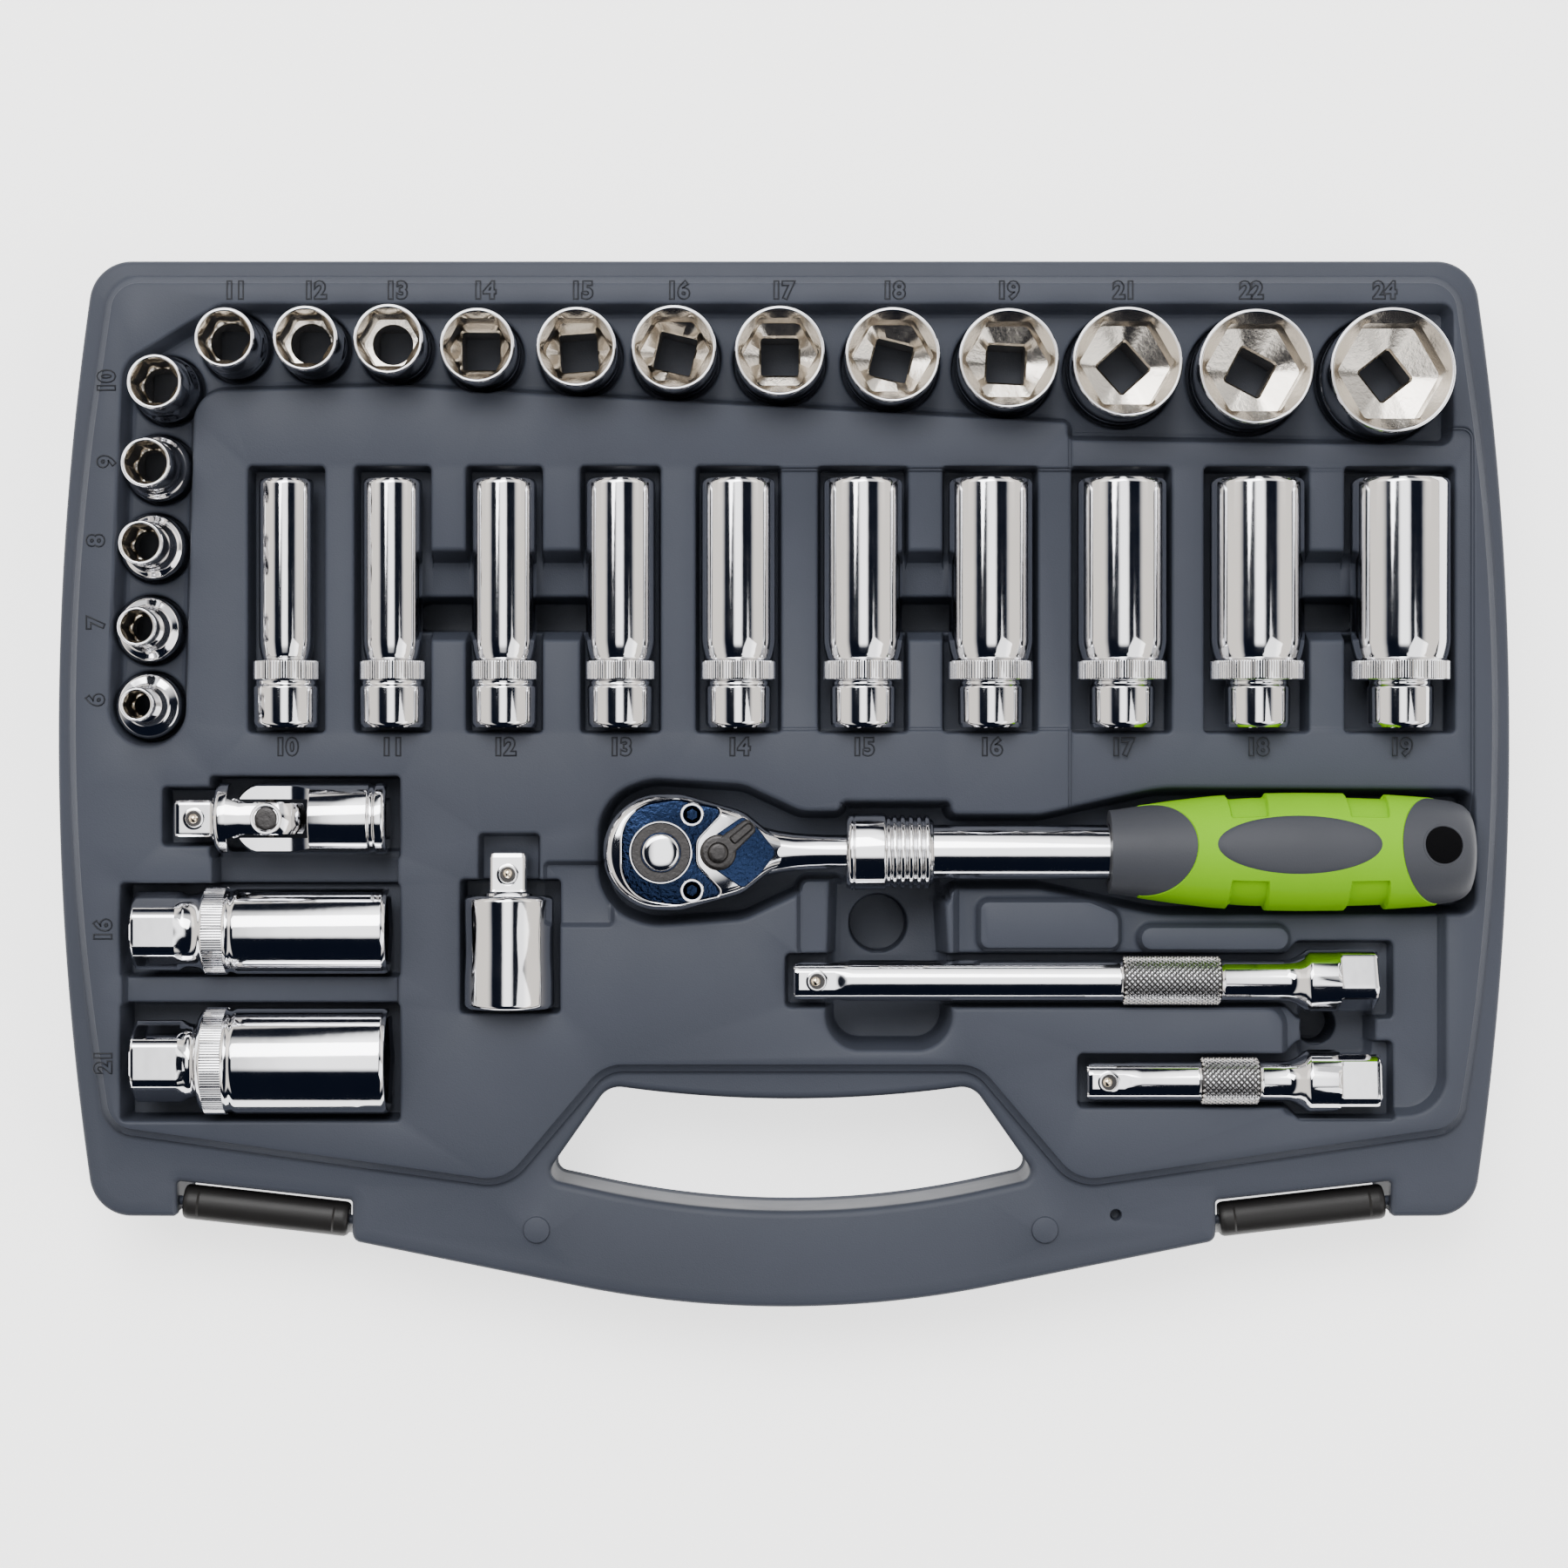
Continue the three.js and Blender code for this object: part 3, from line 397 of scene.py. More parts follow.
def compute(tree, operation, a, b=None):
    node = tree.nodes.new("ShaderNodeMath")
    node.operation = operation
    for socket, value in zip(node.inputs, (a, b)):
        if value is None:
            continue
        if isinstance(value, (int, float)):
            socket.default_value = value
        else:
            tree.links.new(value, socket)
    return node.outputs[0]


def combine(tree, x, y, z):
    node = tree.nodes.new("ShaderNodeCombineXYZ")
    for socket, value in zip(node.inputs, (x, y, z)):
        if isinstance(value, (int, float)):
            socket.default_value = value
        else:
            tree.links.new(value, socket)
    return node.outputs[0]


def finish_tree(tree, given, out, points, rotation, stud):
    """Puts the stud on every point, makes the copies real and gives them their material."""
    copies = tree.nodes.new("GeometryNodeInstanceOnPoints")
    tree.links.new(points, copies.inputs["Points"])
    tree.links.new(stud, copies.inputs["Instance"])
    tree.links.new(rotation, copies.inputs["Rotation"])
    real = tree.nodes.new("GeometryNodeRealizeInstances")
    link(tree, copies, "Instances", real, "Geometry")
    paint = tree.nodes.new("GeometryNodeSetMaterial")
    link(tree, real, "Geometry", paint, "Geometry")
    link(tree, given, "Material", paint, "Material")
    link(tree, paint, "Geometry", out, "Geometry")
    return tree


def wrapped_grid(tree, given, offset_rows):
    """A grid of points wrapped round a cylinder, with every other row half a step on if asked."""
    grid = tree.nodes.new("GeometryNodeMeshGrid")
    grid.inputs["Size X"].default_value = 1.0
    grid.inputs["Size Y"].default_value = 1.0
    link(tree, given, "Around", grid, "Vertices X")
    link(tree, given, "Rows", grid, "Vertices Y")
    place = tree.nodes.new("GeometryNodeInputPosition")
    split = tree.nodes.new("ShaderNodeSeparateXYZ")
    link(tree, place, "Position", split, "Vector")
    around, rows = given.outputs["Around"], given.outputs["Rows"]
    spread = compute(tree, "DIVIDE", compute(tree, "SUBTRACT", around, 1.0), around)
    share = compute(tree, "MULTIPLY", split.outputs["X"], spread)
    if offset_rows:
        row = compute(tree, "MULTIPLY", compute(tree, "ADD", split.outputs["Y"], 0.5), compute(tree, "SUBTRACT", rows, 1.0))
        odd = compute(tree, "MODULO", compute(tree, "ROUND", row), 2.0)
        share = compute(tree, "ADD", share, compute(tree, "DIVIDE", compute(tree, "MULTIPLY", odd, 0.5), around))
    angle = compute(tree, "MULTIPLY", share, 2 * math.pi)
    radius = given.outputs["Radius"]
    x = compute(tree, "MULTIPLY", compute(tree, "COSINE", angle), radius)
    y = compute(tree, "MULTIPLY", compute(tree, "SINE", angle), radius)
    z = compute(tree, "MULTIPLY", split.outputs["Y"], given.outputs["Length"])
    store = tree.nodes.new("GeometryNodeStoreNamedAttribute")
    store.inputs["Name"].default_value = "angle"
    link(tree, grid, "Mesh", store, "Geometry")
    tree.links.new(angle, store.inputs["Value"])
    move = tree.nodes.new("GeometryNodeSetPosition")
    link(tree, store, "Geometry", move, "Geometry")
    tree.links.new(combine(tree, x, y, z), move.inputs["Position"])
    read = tree.nodes.new("GeometryNodeInputNamedAttribute")
    read.inputs["Name"].default_value = "angle"
    return move.outputs["Geometry"], read.outputs["Attribute"]


def knurl_tree():
    """Diamond knurling: low four-sided points in staggered rows round a band."""
    tree, given, out = new_tree(
        "diamond knurl",
        [
            ("Radius", "NodeSocketFloat", 5.0),
            ("Length", "NodeSocketFloat", 10.0),
            ("Around", "NodeSocketInt", 30),
            ("Rows", "NodeSocketInt", 10),
            ("Diamond", "NodeSocketFloat", 0.6),
            ("Depth", "NodeSocketFloat", 0.4),
            ("Material", "NodeSocketMaterial", None),
        ],
    )
    points, angle = wrapped_grid(tree, given, True)
    cone = tree.nodes.new("GeometryNodeMeshCone")
    cone.inputs["Vertices"].default_value = 4
    link(tree, given, "Diamond", cone, "Radius Bottom")
    link(tree, given, "Depth", cone, "Depth")
    tree.links.new(compute(tree, "MULTIPLY", given.outputs["Diamond"], 0.4), cone.inputs["Radius Top"])
    rotation = combine(tree, 0.0, math.pi / 2, angle)
    return finish_tree(tree, given, out, points, rotation, cone.outputs["Mesh"])


def rib_tree():
    """Straight ribs standing side by side round a ring."""
    tree, given, out = new_tree(
        "ring ribs",
        [
            ("Radius", "NodeSocketFloat", 9.0),
            ("Length", "NodeSocketFloat", 5.0),
            ("Around", "NodeSocketInt", 60),
            ("Rows", "NodeSocketInt", 1),
            ("Width", "NodeSocketFloat", 0.5),
            ("Height", "NodeSocketFloat", 0.35),
            ("Material", "NodeSocketMaterial", None),
        ],
    )
    circle = tree.nodes.new("GeometryNodeMeshCircle")
    link(tree, given, "Around", circle, "Vertices")
    link(tree, given, "Radius", circle, "Radius")
    place = tree.nodes.new("GeometryNodeInputPosition")
    split = tree.nodes.new("ShaderNodeSeparateXYZ")
    link(tree, place, "Position", split, "Vector")
    angle = compute(tree, "ARCTAN2", split.outputs["Y"], split.outputs["X"])
    rib = tree.nodes.new("GeometryNodeMeshCylinder")
    rib.inputs["Vertices"].default_value = 6
    rib.inputs["Radius"].default_value = 1.0
    link(tree, given, "Length", rib, "Depth")
    shape = tree.nodes.new("GeometryNodeTransform")
    link(tree, rib, "Mesh", shape, "Geometry")
    size = combine(tree, given.outputs["Height"], given.outputs["Width"], 1.0)
    tree.links.new(size, shape.inputs["Scale"])
    rotation = combine(tree, 0.0, 0.0, angle)
    return finish_tree(tree, given, out, circle.outputs["Mesh"], rotation, shape.outputs["Geometry"])


TREES = {}


def grown(kind, **sizes):
    """Runs one of the trees with these sizes, in millimetres, and gives its plain mesh as stock."""
    if not TREES:
        TREES.update(knurl=knurl_tree(), ribs=rib_tree())
    tree = TREES[kind]
    mesh = bpy.data.meshes.new("seed")
    seed = bpy.data.objects.new("seed", mesh)
    bpy.context.scene.collection.objects.link(seed)
    modifier = seed.modifiers.new("grow", "NODES")
    modifier.node_group = tree
    names = {item.name: item.identifier for item in tree.interface.items_tree if item.in_out == "INPUT"}
    for label, value in sizes.items():
        modifier[names[label]] = value
    modifier[names["Material"]] = LOOK["chrome"]
    seed.update_tag()
    graph = bpy.context.evaluated_depsgraph_get()
    result = bpy.data.meshes.new_from_object(seed.evaluated_get(graph))
    co = np.zeros(len(result.vertices) * 3)
    result.vertices.foreach_get("co", co)
    stock = Stock()
    stock.points, stock.count = [co.reshape(-1, 3)], len(co) // 3
    stock.faces = [tuple(p.vertices) for p in result.polygons]
    stock.looks = [0] * len(stock.faces)
    seed.modifiers.clear()
    bpy.data.objects.remove(seed)
    bpy.data.meshes.remove(result)
    bpy.data.meshes.remove(mesh)
    return stock


def rib_band(radius, low, high):
    """Ribs round a socket's ring between two heights."""
    pitch = bpy.context.scene.socket_tools.rib_pitch * 1000
    count = max(24, round(2 * math.pi * radius / pitch))
    ribs = grown("ribs", Radius=radius, Length=high - low, Around=count, Width=pitch * 0.4, Height=0.15)
    return ribs.placed(UPRIGHT, (0, 0, (low + high) / 2))


def knurl_band(radius, low, high):
    """Diamond knurling between two heights."""
    pitch = bpy.context.scene.socket_tools.knurl_pitch * 1000
    around = max(12, round(2 * math.pi * radius / pitch))
    rows = max(3, round((high - low) / (pitch * 0.5)))
    knurl = grown("knurl", Radius=radius, Length=high - low - pitch, Around=around, Rows=rows, Diamond=pitch * 0.41, Depth=0.62)
    return knurl.placed(UPRIGHT, (0, 0, (low + high) / 2))


# ------------------------------------------------------------------ outlines
def filleted(corners, grow=0.0, step=0.8):
    """Points of a polygon with rounded corners (x, y, radius), moved out by grow. Runs anticlockwise."""
    points, count = [], len(corners)

    def heading(a, b):
        v = np.array([b[0] - a[0], b[1] - a[1]], float)
        return v / np.linalg.norm(v)

    for i, (x, y, radius) in enumerate(corners):
        before, after = heading(corners[i - 1], corners[i]), heading(corners[i], corners[(i + 1) % count])
        out1, out2 = np.array([before[1], -before[0]]), np.array([after[1], -after[0]])
        vertex = np.array([x, y]) + (out1 + out2) * grow / (1 + out1 @ out2)
        convex = before[0] * after[1] - before[1] * after[0] > 0
        r = max(0.0, radius + (grow if convex else -grow)) if radius > 0 else 0.0
        turn = math.acos(max(-1.0, min(1.0, before @ after)))
        if r < 0.03 or turn < 1e-3:
            points.append(vertex)
            continue
        reach, side = r * math.tan(turn / 2), (-1 if convex else 1)
        centre = vertex - before * reach + out1 * side * r
        start = math.atan2(-side * out1[1], -side * out1[0])
        steps = max(3, math.ceil(turn * r / step), math.ceil(turn / 0.3))
        for k in range(steps + 1):
            a = start - side * turn * k / steps
            points.append(centre + r * np.array([math.cos(a), math.sin(a)]))
    points = np.array(points)
    keep = np.linalg.norm(points - np.roll(points, -1, 0), axis=1) > 0.02
    return points[keep]


def mirrored(corners):
    return [(-x, y, r) for x, y, r in corners][::-1]


def box_outline(x0, x1, y0, y1, radius=1.0):
    return [(x0, y0, radius), (x1, y0, radius), (x1, y1, radius), (x0, y1, radius)]


def disc_outline(x, y, radius):
    return [(x - radius, y - radius, radius * 0.995), (x + radius, y - radius, radius * 0.995),
            (x + radius, y + radius, radius * 0.995), (x - radius, y + radius, radius * 0.995)]


HALF_WIDTH, HALF_DEPTH = 188.35, 135.7
SIDE_ARC, SIDE_SLOPE, SIDE_MIDDLE = 810.0, 0.1423, 11.8
FRONT_ARC, FRONT_SLOPE = 272.0, 0.202


def case_outline():
    side_x = HALF_WIDTH + SIDE_ARC * (1 / math.cos(math.atan(SIDE_SLOPE)) - 1)
    corner_x = side_x - SIDE_SLOPE * (HALF_DEPTH - SIDE_MIDDLE)
    front_y = -HALF_DEPTH - FRONT_ARC * (1 / math.cos(math.atan(FRONT_SLOPE)) - 1)
    right = [
        (112, -118.6, 2.5), (112, -108, 1), (157.6, -103, 1), (157.6, -112.2, 1),
        (corner_x, -112.1, 11), (side_x, SIDE_MIDDLE, SIDE_ARC), (corner_x, HALF_DEPTH, 11),
    ]
    return [(0, front_y, FRONT_ARC), *right, *mirrored(right)]


DECK = [
    (49.4, -74.3, 9), (75, -104.5, 13), (175.4, -90, 9), (191.4, 11.8, 600), (174.4, 131.2, 9),
    (-174.4, 131.2, 9), (-191.4, 11.8, 600), (-175.4, -90, 9), (-71.4, -104.5, 13), (-45.8, -74.3, 9),
]
GRIP_HOLE = [
    (-45.5, -78.2, 6), (-62.5, -102.3, 3), (1.7, -116.2, 235), (65.9, -102.3, 3), (48.9, -78.2, 6), (1.7, -84.5, 320),
]
TROUGH = [
    (-174.4, 9.8, 9.4), (-154.6, 9.8, 9.4), (-152.2, 101.5, 8), (-100, 102.8, 20), (73.3, 93.4, 1.5), (73.3, 89, 1.5),
    (172.6, 87.5, 3), (172.6, 123.8, 3), (-145.6, 123.8, 6), (-170.6, 108.6, 8),
]
HEAD = mid("ratchet_drive_gear")[:2]
COLLAR = [span("ratchet_lock_collar")[k][0] for k in (0, 1)]
GRIP_END = span("ratchet_grip_core")[1][0]
DEEP_SIZES = range(10, 20)
SHORT_SIZES = [6, 7, 8, 9, 10, 11, 12, 13, 14, 15, 16, 17, 18, 19, 21, 22, 24]


def ratchet_pocket():
    x, y = HEAD
    upper = [
        (x - 16.4, y + 14, 13.5), (x - 3, y + 19, 16), (x + 21, y + 17.4, 12), (x + 36, y + 10.4, 10),
        (COLLAR[0] - 1.2, y + 10.4, 2), (COLLAR[0] - 1.2, y + 13, 1.5), (COLLAR[1] + 4.6, y + 13, 1.5),
        (COLLAR[1] + 4.6, y + 9.6, 2), (66, y + 9.6, 14), (97, y + 16.4, 40), (GRIP_END + 1.4, y + 16, 4),
    ]
    lower = [(px, 2 * y - py, r) for px, py, r in upper]
    return lower + upper[::-1]


def bar_pocket(node, half):
    low, high = span(node)
    y = (low[1] + high[1]) / 2
    end = 10.1
    return [
        (low[0] - 2.2, y - half, 1.5), (130, y - half, 2), (133, y - end, 2), (157.8, y - end, 1.5),
        (157.8, y + end, 1.5), (133, y + end, 2), (130, y + half, 2), (low[0] - 2.2, y + half, 1.5),
    ]


class Recess:
    """One sunk or raised region of a moulded surface: an outline, a level, and how its edges round."""

    def __init__(self, corners, level, depth, lip=0.9, draft=0.45, foot=0.9):
        self.corners, self.level, self.depth = corners, level, depth
        self.lip, self.draft, self.foot = min(lip, depth * 0.5), draft, min(foot, depth * 0.45)
        self.outline = filleted(corners)

    def contours(self):
        """Outlines at the places where the edge's section bends."""
        lip, foot = self.lip, self.foot
        shifts = [lip, lip * 0.5, lip * 0.15, 0.0, -self.draft, -self.draft - foot * 0.35, -self.draft - foot]
        return [filleted(self.corners, s) for s in shifts]

    def weight(self, d):
        """How far the surface has gone towards the level, at a signed distance (positive outside)."""
        lip, foot, draft, depth = self.lip, self.foot, self.draft, self.depth
        places = [-draft - foot, -draft - foot * 0.35, -draft, 0.0, lip * 0.15, lip * 0.5, lip]
        drops = [depth, depth - foot * 0.24, depth - foot, lip, lip * 0.46, lip * 0.13, 0.0]
        return np.interp(d, places, np.array(drops) / depth)


def distance_to(outline, points):
    """Signed distance of points from a closed outline, positive outside."""
    a, b = outline, np.roll(outline, -1, 0)
    ab = b - a
    length = (ab**2).sum(1)
    best = np.full(len(points), 1e9)
    inside = np.zeros(len(points), bool)
    for s in range(0, len(points), 4000):
        p = points[s : s + 4000, None, :]
        t = np.clip(((p - a) * ab).sum(2) / length, 0, 1)
        near = a + t[..., None] * ab
        best[s : s + 4000] = np.sqrt(((p - near) ** 2).sum(2)).min(1)
        py, px = p[..., 1], p[..., 0]
        crosses = ((a[:, 1] > py) != (b[:, 1] > py)) & (
            px < (b[:, 0] - a[:, 0]) * (py - a[:, 1]) / np.where(b[:, 1] == a[:, 1], 1e-12, b[:, 1] - a[:, 1]) + a[:, 0]
        )
        inside[s : s + 4000] = crosses.sum(1) % 2 == 1
    return np.where(inside, -best, best)


def sculpt(points, base, recesses):
    """Height of a moulded surface at each point: every recess pulls it towards its own level."""
    heights = base.copy()
    for recess in recesses:
        margin = recess.lip + 0.5
        low, high = recess.outline.min(0) - margin, recess.outline.max(0) + margin
        near = np.where(((points > low) & (points < high)).all(1))[0]
        if len(near):
            w = recess.weight(distance_to(recess.outline, points[near]))
            heights[near] += (recess.level - heights[near]) * w
    return heights


def triangulate(outer, holes, contours):
    """Triangles of the region between the outer outline and its holes, with every contour as an edge."""
    points, edges = [], []
    for loop in [outer, *holes, *contours]:
        start = len(points)
        points += [tuple(p) for p in loop]
        edges += [(start + i, start + (i + 1) % len(loop)) for i in range(len(loop))]
    made = delaunay_2d_cdt(points, edges, [], 0, 1e-4)
    xy = np.array([tuple(v) for v in made[0]])
    faces = np.array([f for f in made[2] if len(f) == 3])
    middle = xy[faces].mean(1)
    keep = distance_to(outer, middle) < 0
    for hole in holes:
        keep &= distance_to(hole, middle) > 0
    return xy, faces[keep]


def border_loops(faces):
    """Ordered loops of the edges that only one triangle uses, in the triangles' own direction."""
    edges = {(f[i], f[(i + 1) % 3]) for f in faces.tolist() for i in range(3)}
    follow = {a: b for a, b in edges if (b, a) not in edges}
    loops = []
    while follow:
        first, at = next(iter(follow.items()))
        loop = [first]
        del follow[first]
        while at != first:
            loop.append(at)
            at = follow.pop(at)
        loops.append(loop)
    return loops


def two_sided(xy, faces, top, bottom, wall=()):
    """A closed sheet over one triangulation, its borders joined by walls with rows (share down, inset)."""
    n = len(xy)
    points = [np.column_stack([xy, top]), np.column_stack([xy, bottom])]
    skin = [tuple(f) for f in faces.tolist()] + [tuple(i + n for i in f[::-1]) for f in faces.tolist()]
    count = 2 * n
    for loop in border_loops(faces):
        ring = xy[loop]
        ahead, behind = np.roll(ring, -1, 0), np.roll(ring, 1, 0)
        along = ahead - behind
        out = np.column_stack([along[:, 1], -along[:, 0]]) / np.maximum(np.linalg.norm(along, axis=1), 1e-9)[:, None]
        levels = [list(loop)]
        for share, inset in wall:
            z = top[loop] + (bottom[loop] - top[loop]) * share
            points.append(np.column_stack([ring - out * inset, z]))
            levels.append(list(range(count, count + len(loop))))
            count += len(loop)
        levels.append([i + n for i in loop])
        for a, b in zip(levels, levels[1:]):
            for i in range(len(loop)):
                j = (i + 1) % len(loop)
                skin.append((a[j], a[i], b[i], b[j]))
    return np.concatenate(points), skin


# ------------------------------------------------------------------ tray
def tray_recesses():
    """Every pocket, step and scoop of the deck, from the broadest to the deepest."""
    deck = bpy.context.scene.socket_case.deck_height * 1000
    seat = 22.0
    out = [Recess(DECK, deck, 3.8, lip=1.3, draft=1.4, foot=1.5)]
    # the slightly lower right-hand level, and the raised panels left standing in it
    out.append(Recess([(73.6, 16, 1.5), (73.6, -22, 1), (178, -22, 3), (178, 92, 3), (73.6, 92, 1.5)], deck - 1.3, 1.3))
    shelf = [(44, -57.6, 2), (129, -57.6, 5), (129, -85.2, 2), (170.6, -85.2, 10), (170.6, -20, 4), (44, -20, 2)]
    out.append(Recess(shelf, deck - 4.2, 4.2, lip=1.3, draft=0.9, foot=1.5))
    panels = [(49.9, -43.2, 3), (87.2, -43.2, 3), (87.2, -33, 4), (79, -29.6, 6), (49.9, -29.6, 3)], box_outline(91.4, 131, -43.6, -36.2, 3.6)
    for panel in panels:
        out.append(Recess(panel, deck, 4.2, lip=1.1, draft=0.6, foot=1.1))
    # lowered bars between deep sockets
    for a, b in ((14, 15), (15, 16), (16, 17), (18, 19)):
        xa, xb = mid(f"deep_socket_{a}")[0], mid(f"deep_socket_{b}")[0]
        out.append(Recess(box_outline(xa + 6, xb - 6, 14, 81.4, 1), deck - 1.6, 1.6))
    
    out.append(Recess(box_outline(-170.8, -99.6, -57.4, -49, 1), 31.0, deck - 31))
    out.append(Recess(box_outline(-62, -44, -36.6, -20.2, 1.5), deck - 2.4, 2.4))
    # trough with its seats
    out.append(Recess(TROUGH, 28.0, deck - 28, draft=1.2, foot=1.4))
    for size in SHORT_SIZES:
        x, y, _ = mid(f"short_socket_{size}")
        low, high = span(f"short_socket_{size}")
        out.append(Recess(disc_outline(x, y, (high[0] - low[0]) / 2 + 0.8), seat, 6.0, lip=0.8, draft=0.25, foot=0.6))
    # deep socket pockets
    for size in DEEP_SIZES:
        low, high = span(f"deep_socket_{size}")
        floor = low[2] - 0.35
        out.append(Recess(box_outline(low[0] - 1.2, high[0] + 1.2, 13.2, 82, 1.2), floor, deck - floor))
    for x0, x1 in ((-92.5, -80.5), (-64.5, -51.0), (31.0, 43.0), (134.0, 147.0)):
        out.append(Recess(box_outline(x0 - 5, x1 + 5, 37.4, 60.0, 3.0), 27.0, deck - 27, lip=1.4, draft=1.4, foot=3.0))
        out.append(Recess(box_outline(x0 - 5, x1 + 5, 39.6, 48.6, 4.0), 8.0, 19.0, lip=1.0, draft=0.5, foot=1.0))
    # drive tools
    out.append(Recess(box_outline(-160.4, -145, -16, -0.8, 1.2), 24.0, deck - 24))
    out.append(Recess(box_outline(-148.2, -99.1, -19.3, 2.1, 1.2), 20.0, deck - 20))
    out.append(Recess(box_outline(-147.6, -99.7, -27, -17, 1), 24.9, deck - 24.9))
    out.append(Recess(box_outline(-171.3, -99.1, -50, -25.6, 1.2), 21.8, deck - 21.8))
    out.append(Recess(box_outline(-171.3, -99.1, -87, -56.6, 1.2), 19.3, deck - 19.3))
    out.append(Recess(box_outline(-78.8, -63.1, -26, -12.8, 1.2), 28.6, deck - 28.6))
    out.append(Recess(box_outline(-83.6, -57.8, -59.2, -24.6, 1.2), 22.4, deck - 22.4))
    out.append(Recess(ratchet_pocket(), 20.8, deck - 20.8, lip=1.3, draft=1.2, foot=2.0))
    out.append(Recess([(3.5, -24, 3), (3.5, -45, 3), (16, -45, 3), (16, -24, 3)], 33.0, 3.0))
    x, y = HEAD
    out.append(Recess(box_outline(x - 8, x + 8, y - 8, y + 8, 3), 17.5, 3.2, foot=0.6))
    out.append(Recess(bar_pocket("extension_bar_150", 7.0), 26.2, deck - 26.2))
    out.append(Recess(bar_pocket("extension_bar_75", 7.0), 26.2, deck - 26.2))
    # scoops under the bars
    out.append(Recess([(10.5, -68.6, 9), (43.8, -68.6, 9), (41, -24, 2), (11.8, -24, 2)], 17.5, 18.5, lip=1.4, draft=1.6, foot=2))
    out.append(Recess(disc_outline(24.7, -36.6, 7.7), 7.0, 10.5, lip=0.6, draft=0.3, foot=0.5))
    out.append(Recess(box_outline(134, 153.2, -72, -55, 3), 22.0, 14.0, lip=1.2, draft=1.2, foot=1.6))
    out.append(Recess(disc_outline(139.1, -62.9, 5.2), 8.0, 14.0, lip=0.6, draft=0.3, foot=0.5))
    out.append(Recess(disc_outline(156.0, -62.6, 2.2), deck - 4.2, 8.0, lip=0.8, draft=0.6, foot=0.8))
    # bosses and the eyelet of the handle
    for bx in (-64.1, 67.6):
        out.append(Recess(disc_outline(bx, -115.5, 3.5), 32.9, 0.9, lip=0.2, draft=0.12, foot=0.3))
    out.append(Recess(disc_outline(86, -111.7, 1.5), 28.0, 4.5, lip=0.3, draft=0.2, foot=0.3))
    return out


def rim_height(points, outline):
    """The border slopes gently down to the case's outer edge, which is rounded."""
    rim = bpy.context.scene.socket_case.rim_height * 1000
    inward = -distance_to(outline, points)
    slope = np.interp(inward, [0, 4, 13], [0.9, 0.55, 0.0])
    edge = np.interp(inward, [0, 0.25, 0.7, 1.4], [1.1, 0.55, 0.16, 0.0])
    return rim - slope - edge


def build_tray():
    seam = 30.35
    corners = case_outline()
    outline, hole = filleted(corners), filleted(GRIP_HOLE)
    recesses = tray_recesses()
    contours = [filleted(corners, -s) for s in (0.25, 0.7, 1.4, 4.0)]
    contours += [filleted(GRIP_HOLE, s) for s in (0.3, 1.0, 2.0)]
    for recess in recesses:
        contours += recess.contours()
    xy, faces = triangulate(outline, [hole], contours)
    base = rim_height(xy, outline)
    base -= np.interp(distance_to(hole, xy), [0, 0.3, 1.0, 2.0], [1.5, 0.8, 0.2, 0.0])
    top = sculpt(xy, base, recesses)
    inward = np.minimum(-distance_to(outline, xy), distance_to(hole, xy))
    bottom = np.where(inward < 3.5, seam, top - 1.6)
    bottom = np.where((bottom > top - 0.25), top - 0.25, bottom)
    stock = Stock().add(*two_sided(xy, faces, top, bottom))
    finish_piece("tray_moulding", stock, ["case"], "case", ["case_tray", "case_rim"], sharp=38)


# ------------------------------------------------------------------ base
LATCH_X, LATCH_Y, LATCH_TILT, LATCH_HALF = 134.2, -105.4, 0.112, 21.6
PIVOT_V, PIVOT_Z, BARREL = 5.8, 25.5, 4.6


def at_latch(stock, side):
    """From a latch's own frame (along the edge, outwards towards -Y, up) to the case's."""
    c, s = math.cos(LATCH_TILT), math.sin(LATCH_TILT)
    stock.placed(((c, s, 0), (-s, c, 0), (0, 0, 1)), (-LATCH_X, LATCH_Y, 0))
    if side > 0:
        stock.points = [p * np.array((-1, 1, 1)) for p in stock.points]
        stock.faces = [f[::-1] for f in stock.faces]
    return stock


def bar_between(x0, x1, section_points):
    """A straight bar along X with a (y, z) section."""
    ring = np.asarray(section_points, float)
    return loft([np.column_stack([np.full(len(ring), x), ring]) for x in (x0, x1)])


def rounded_section(points, radius):
    return filleted([(y, z, radius) for y, z in points], step=0.4)


def latch_pins(side):
    stock = Stock()
    for a, b in ((-LATCH_HALF - 2.4, -LATCH_HALF + 5.5), (LATCH_HALF - 5.5, LATCH_HALF + 2.4)):
        pin = Stock().add(*stack([(a, 1.1), (a + 0.3, 1.3), (b - 0.3, 1.3), (b, 1.1)], n=24))
        stock.join(pin.placed(TOWARDS_X, (0, -PIVOT_V, PIVOT_Z)))
    return at_latch(stock, side)


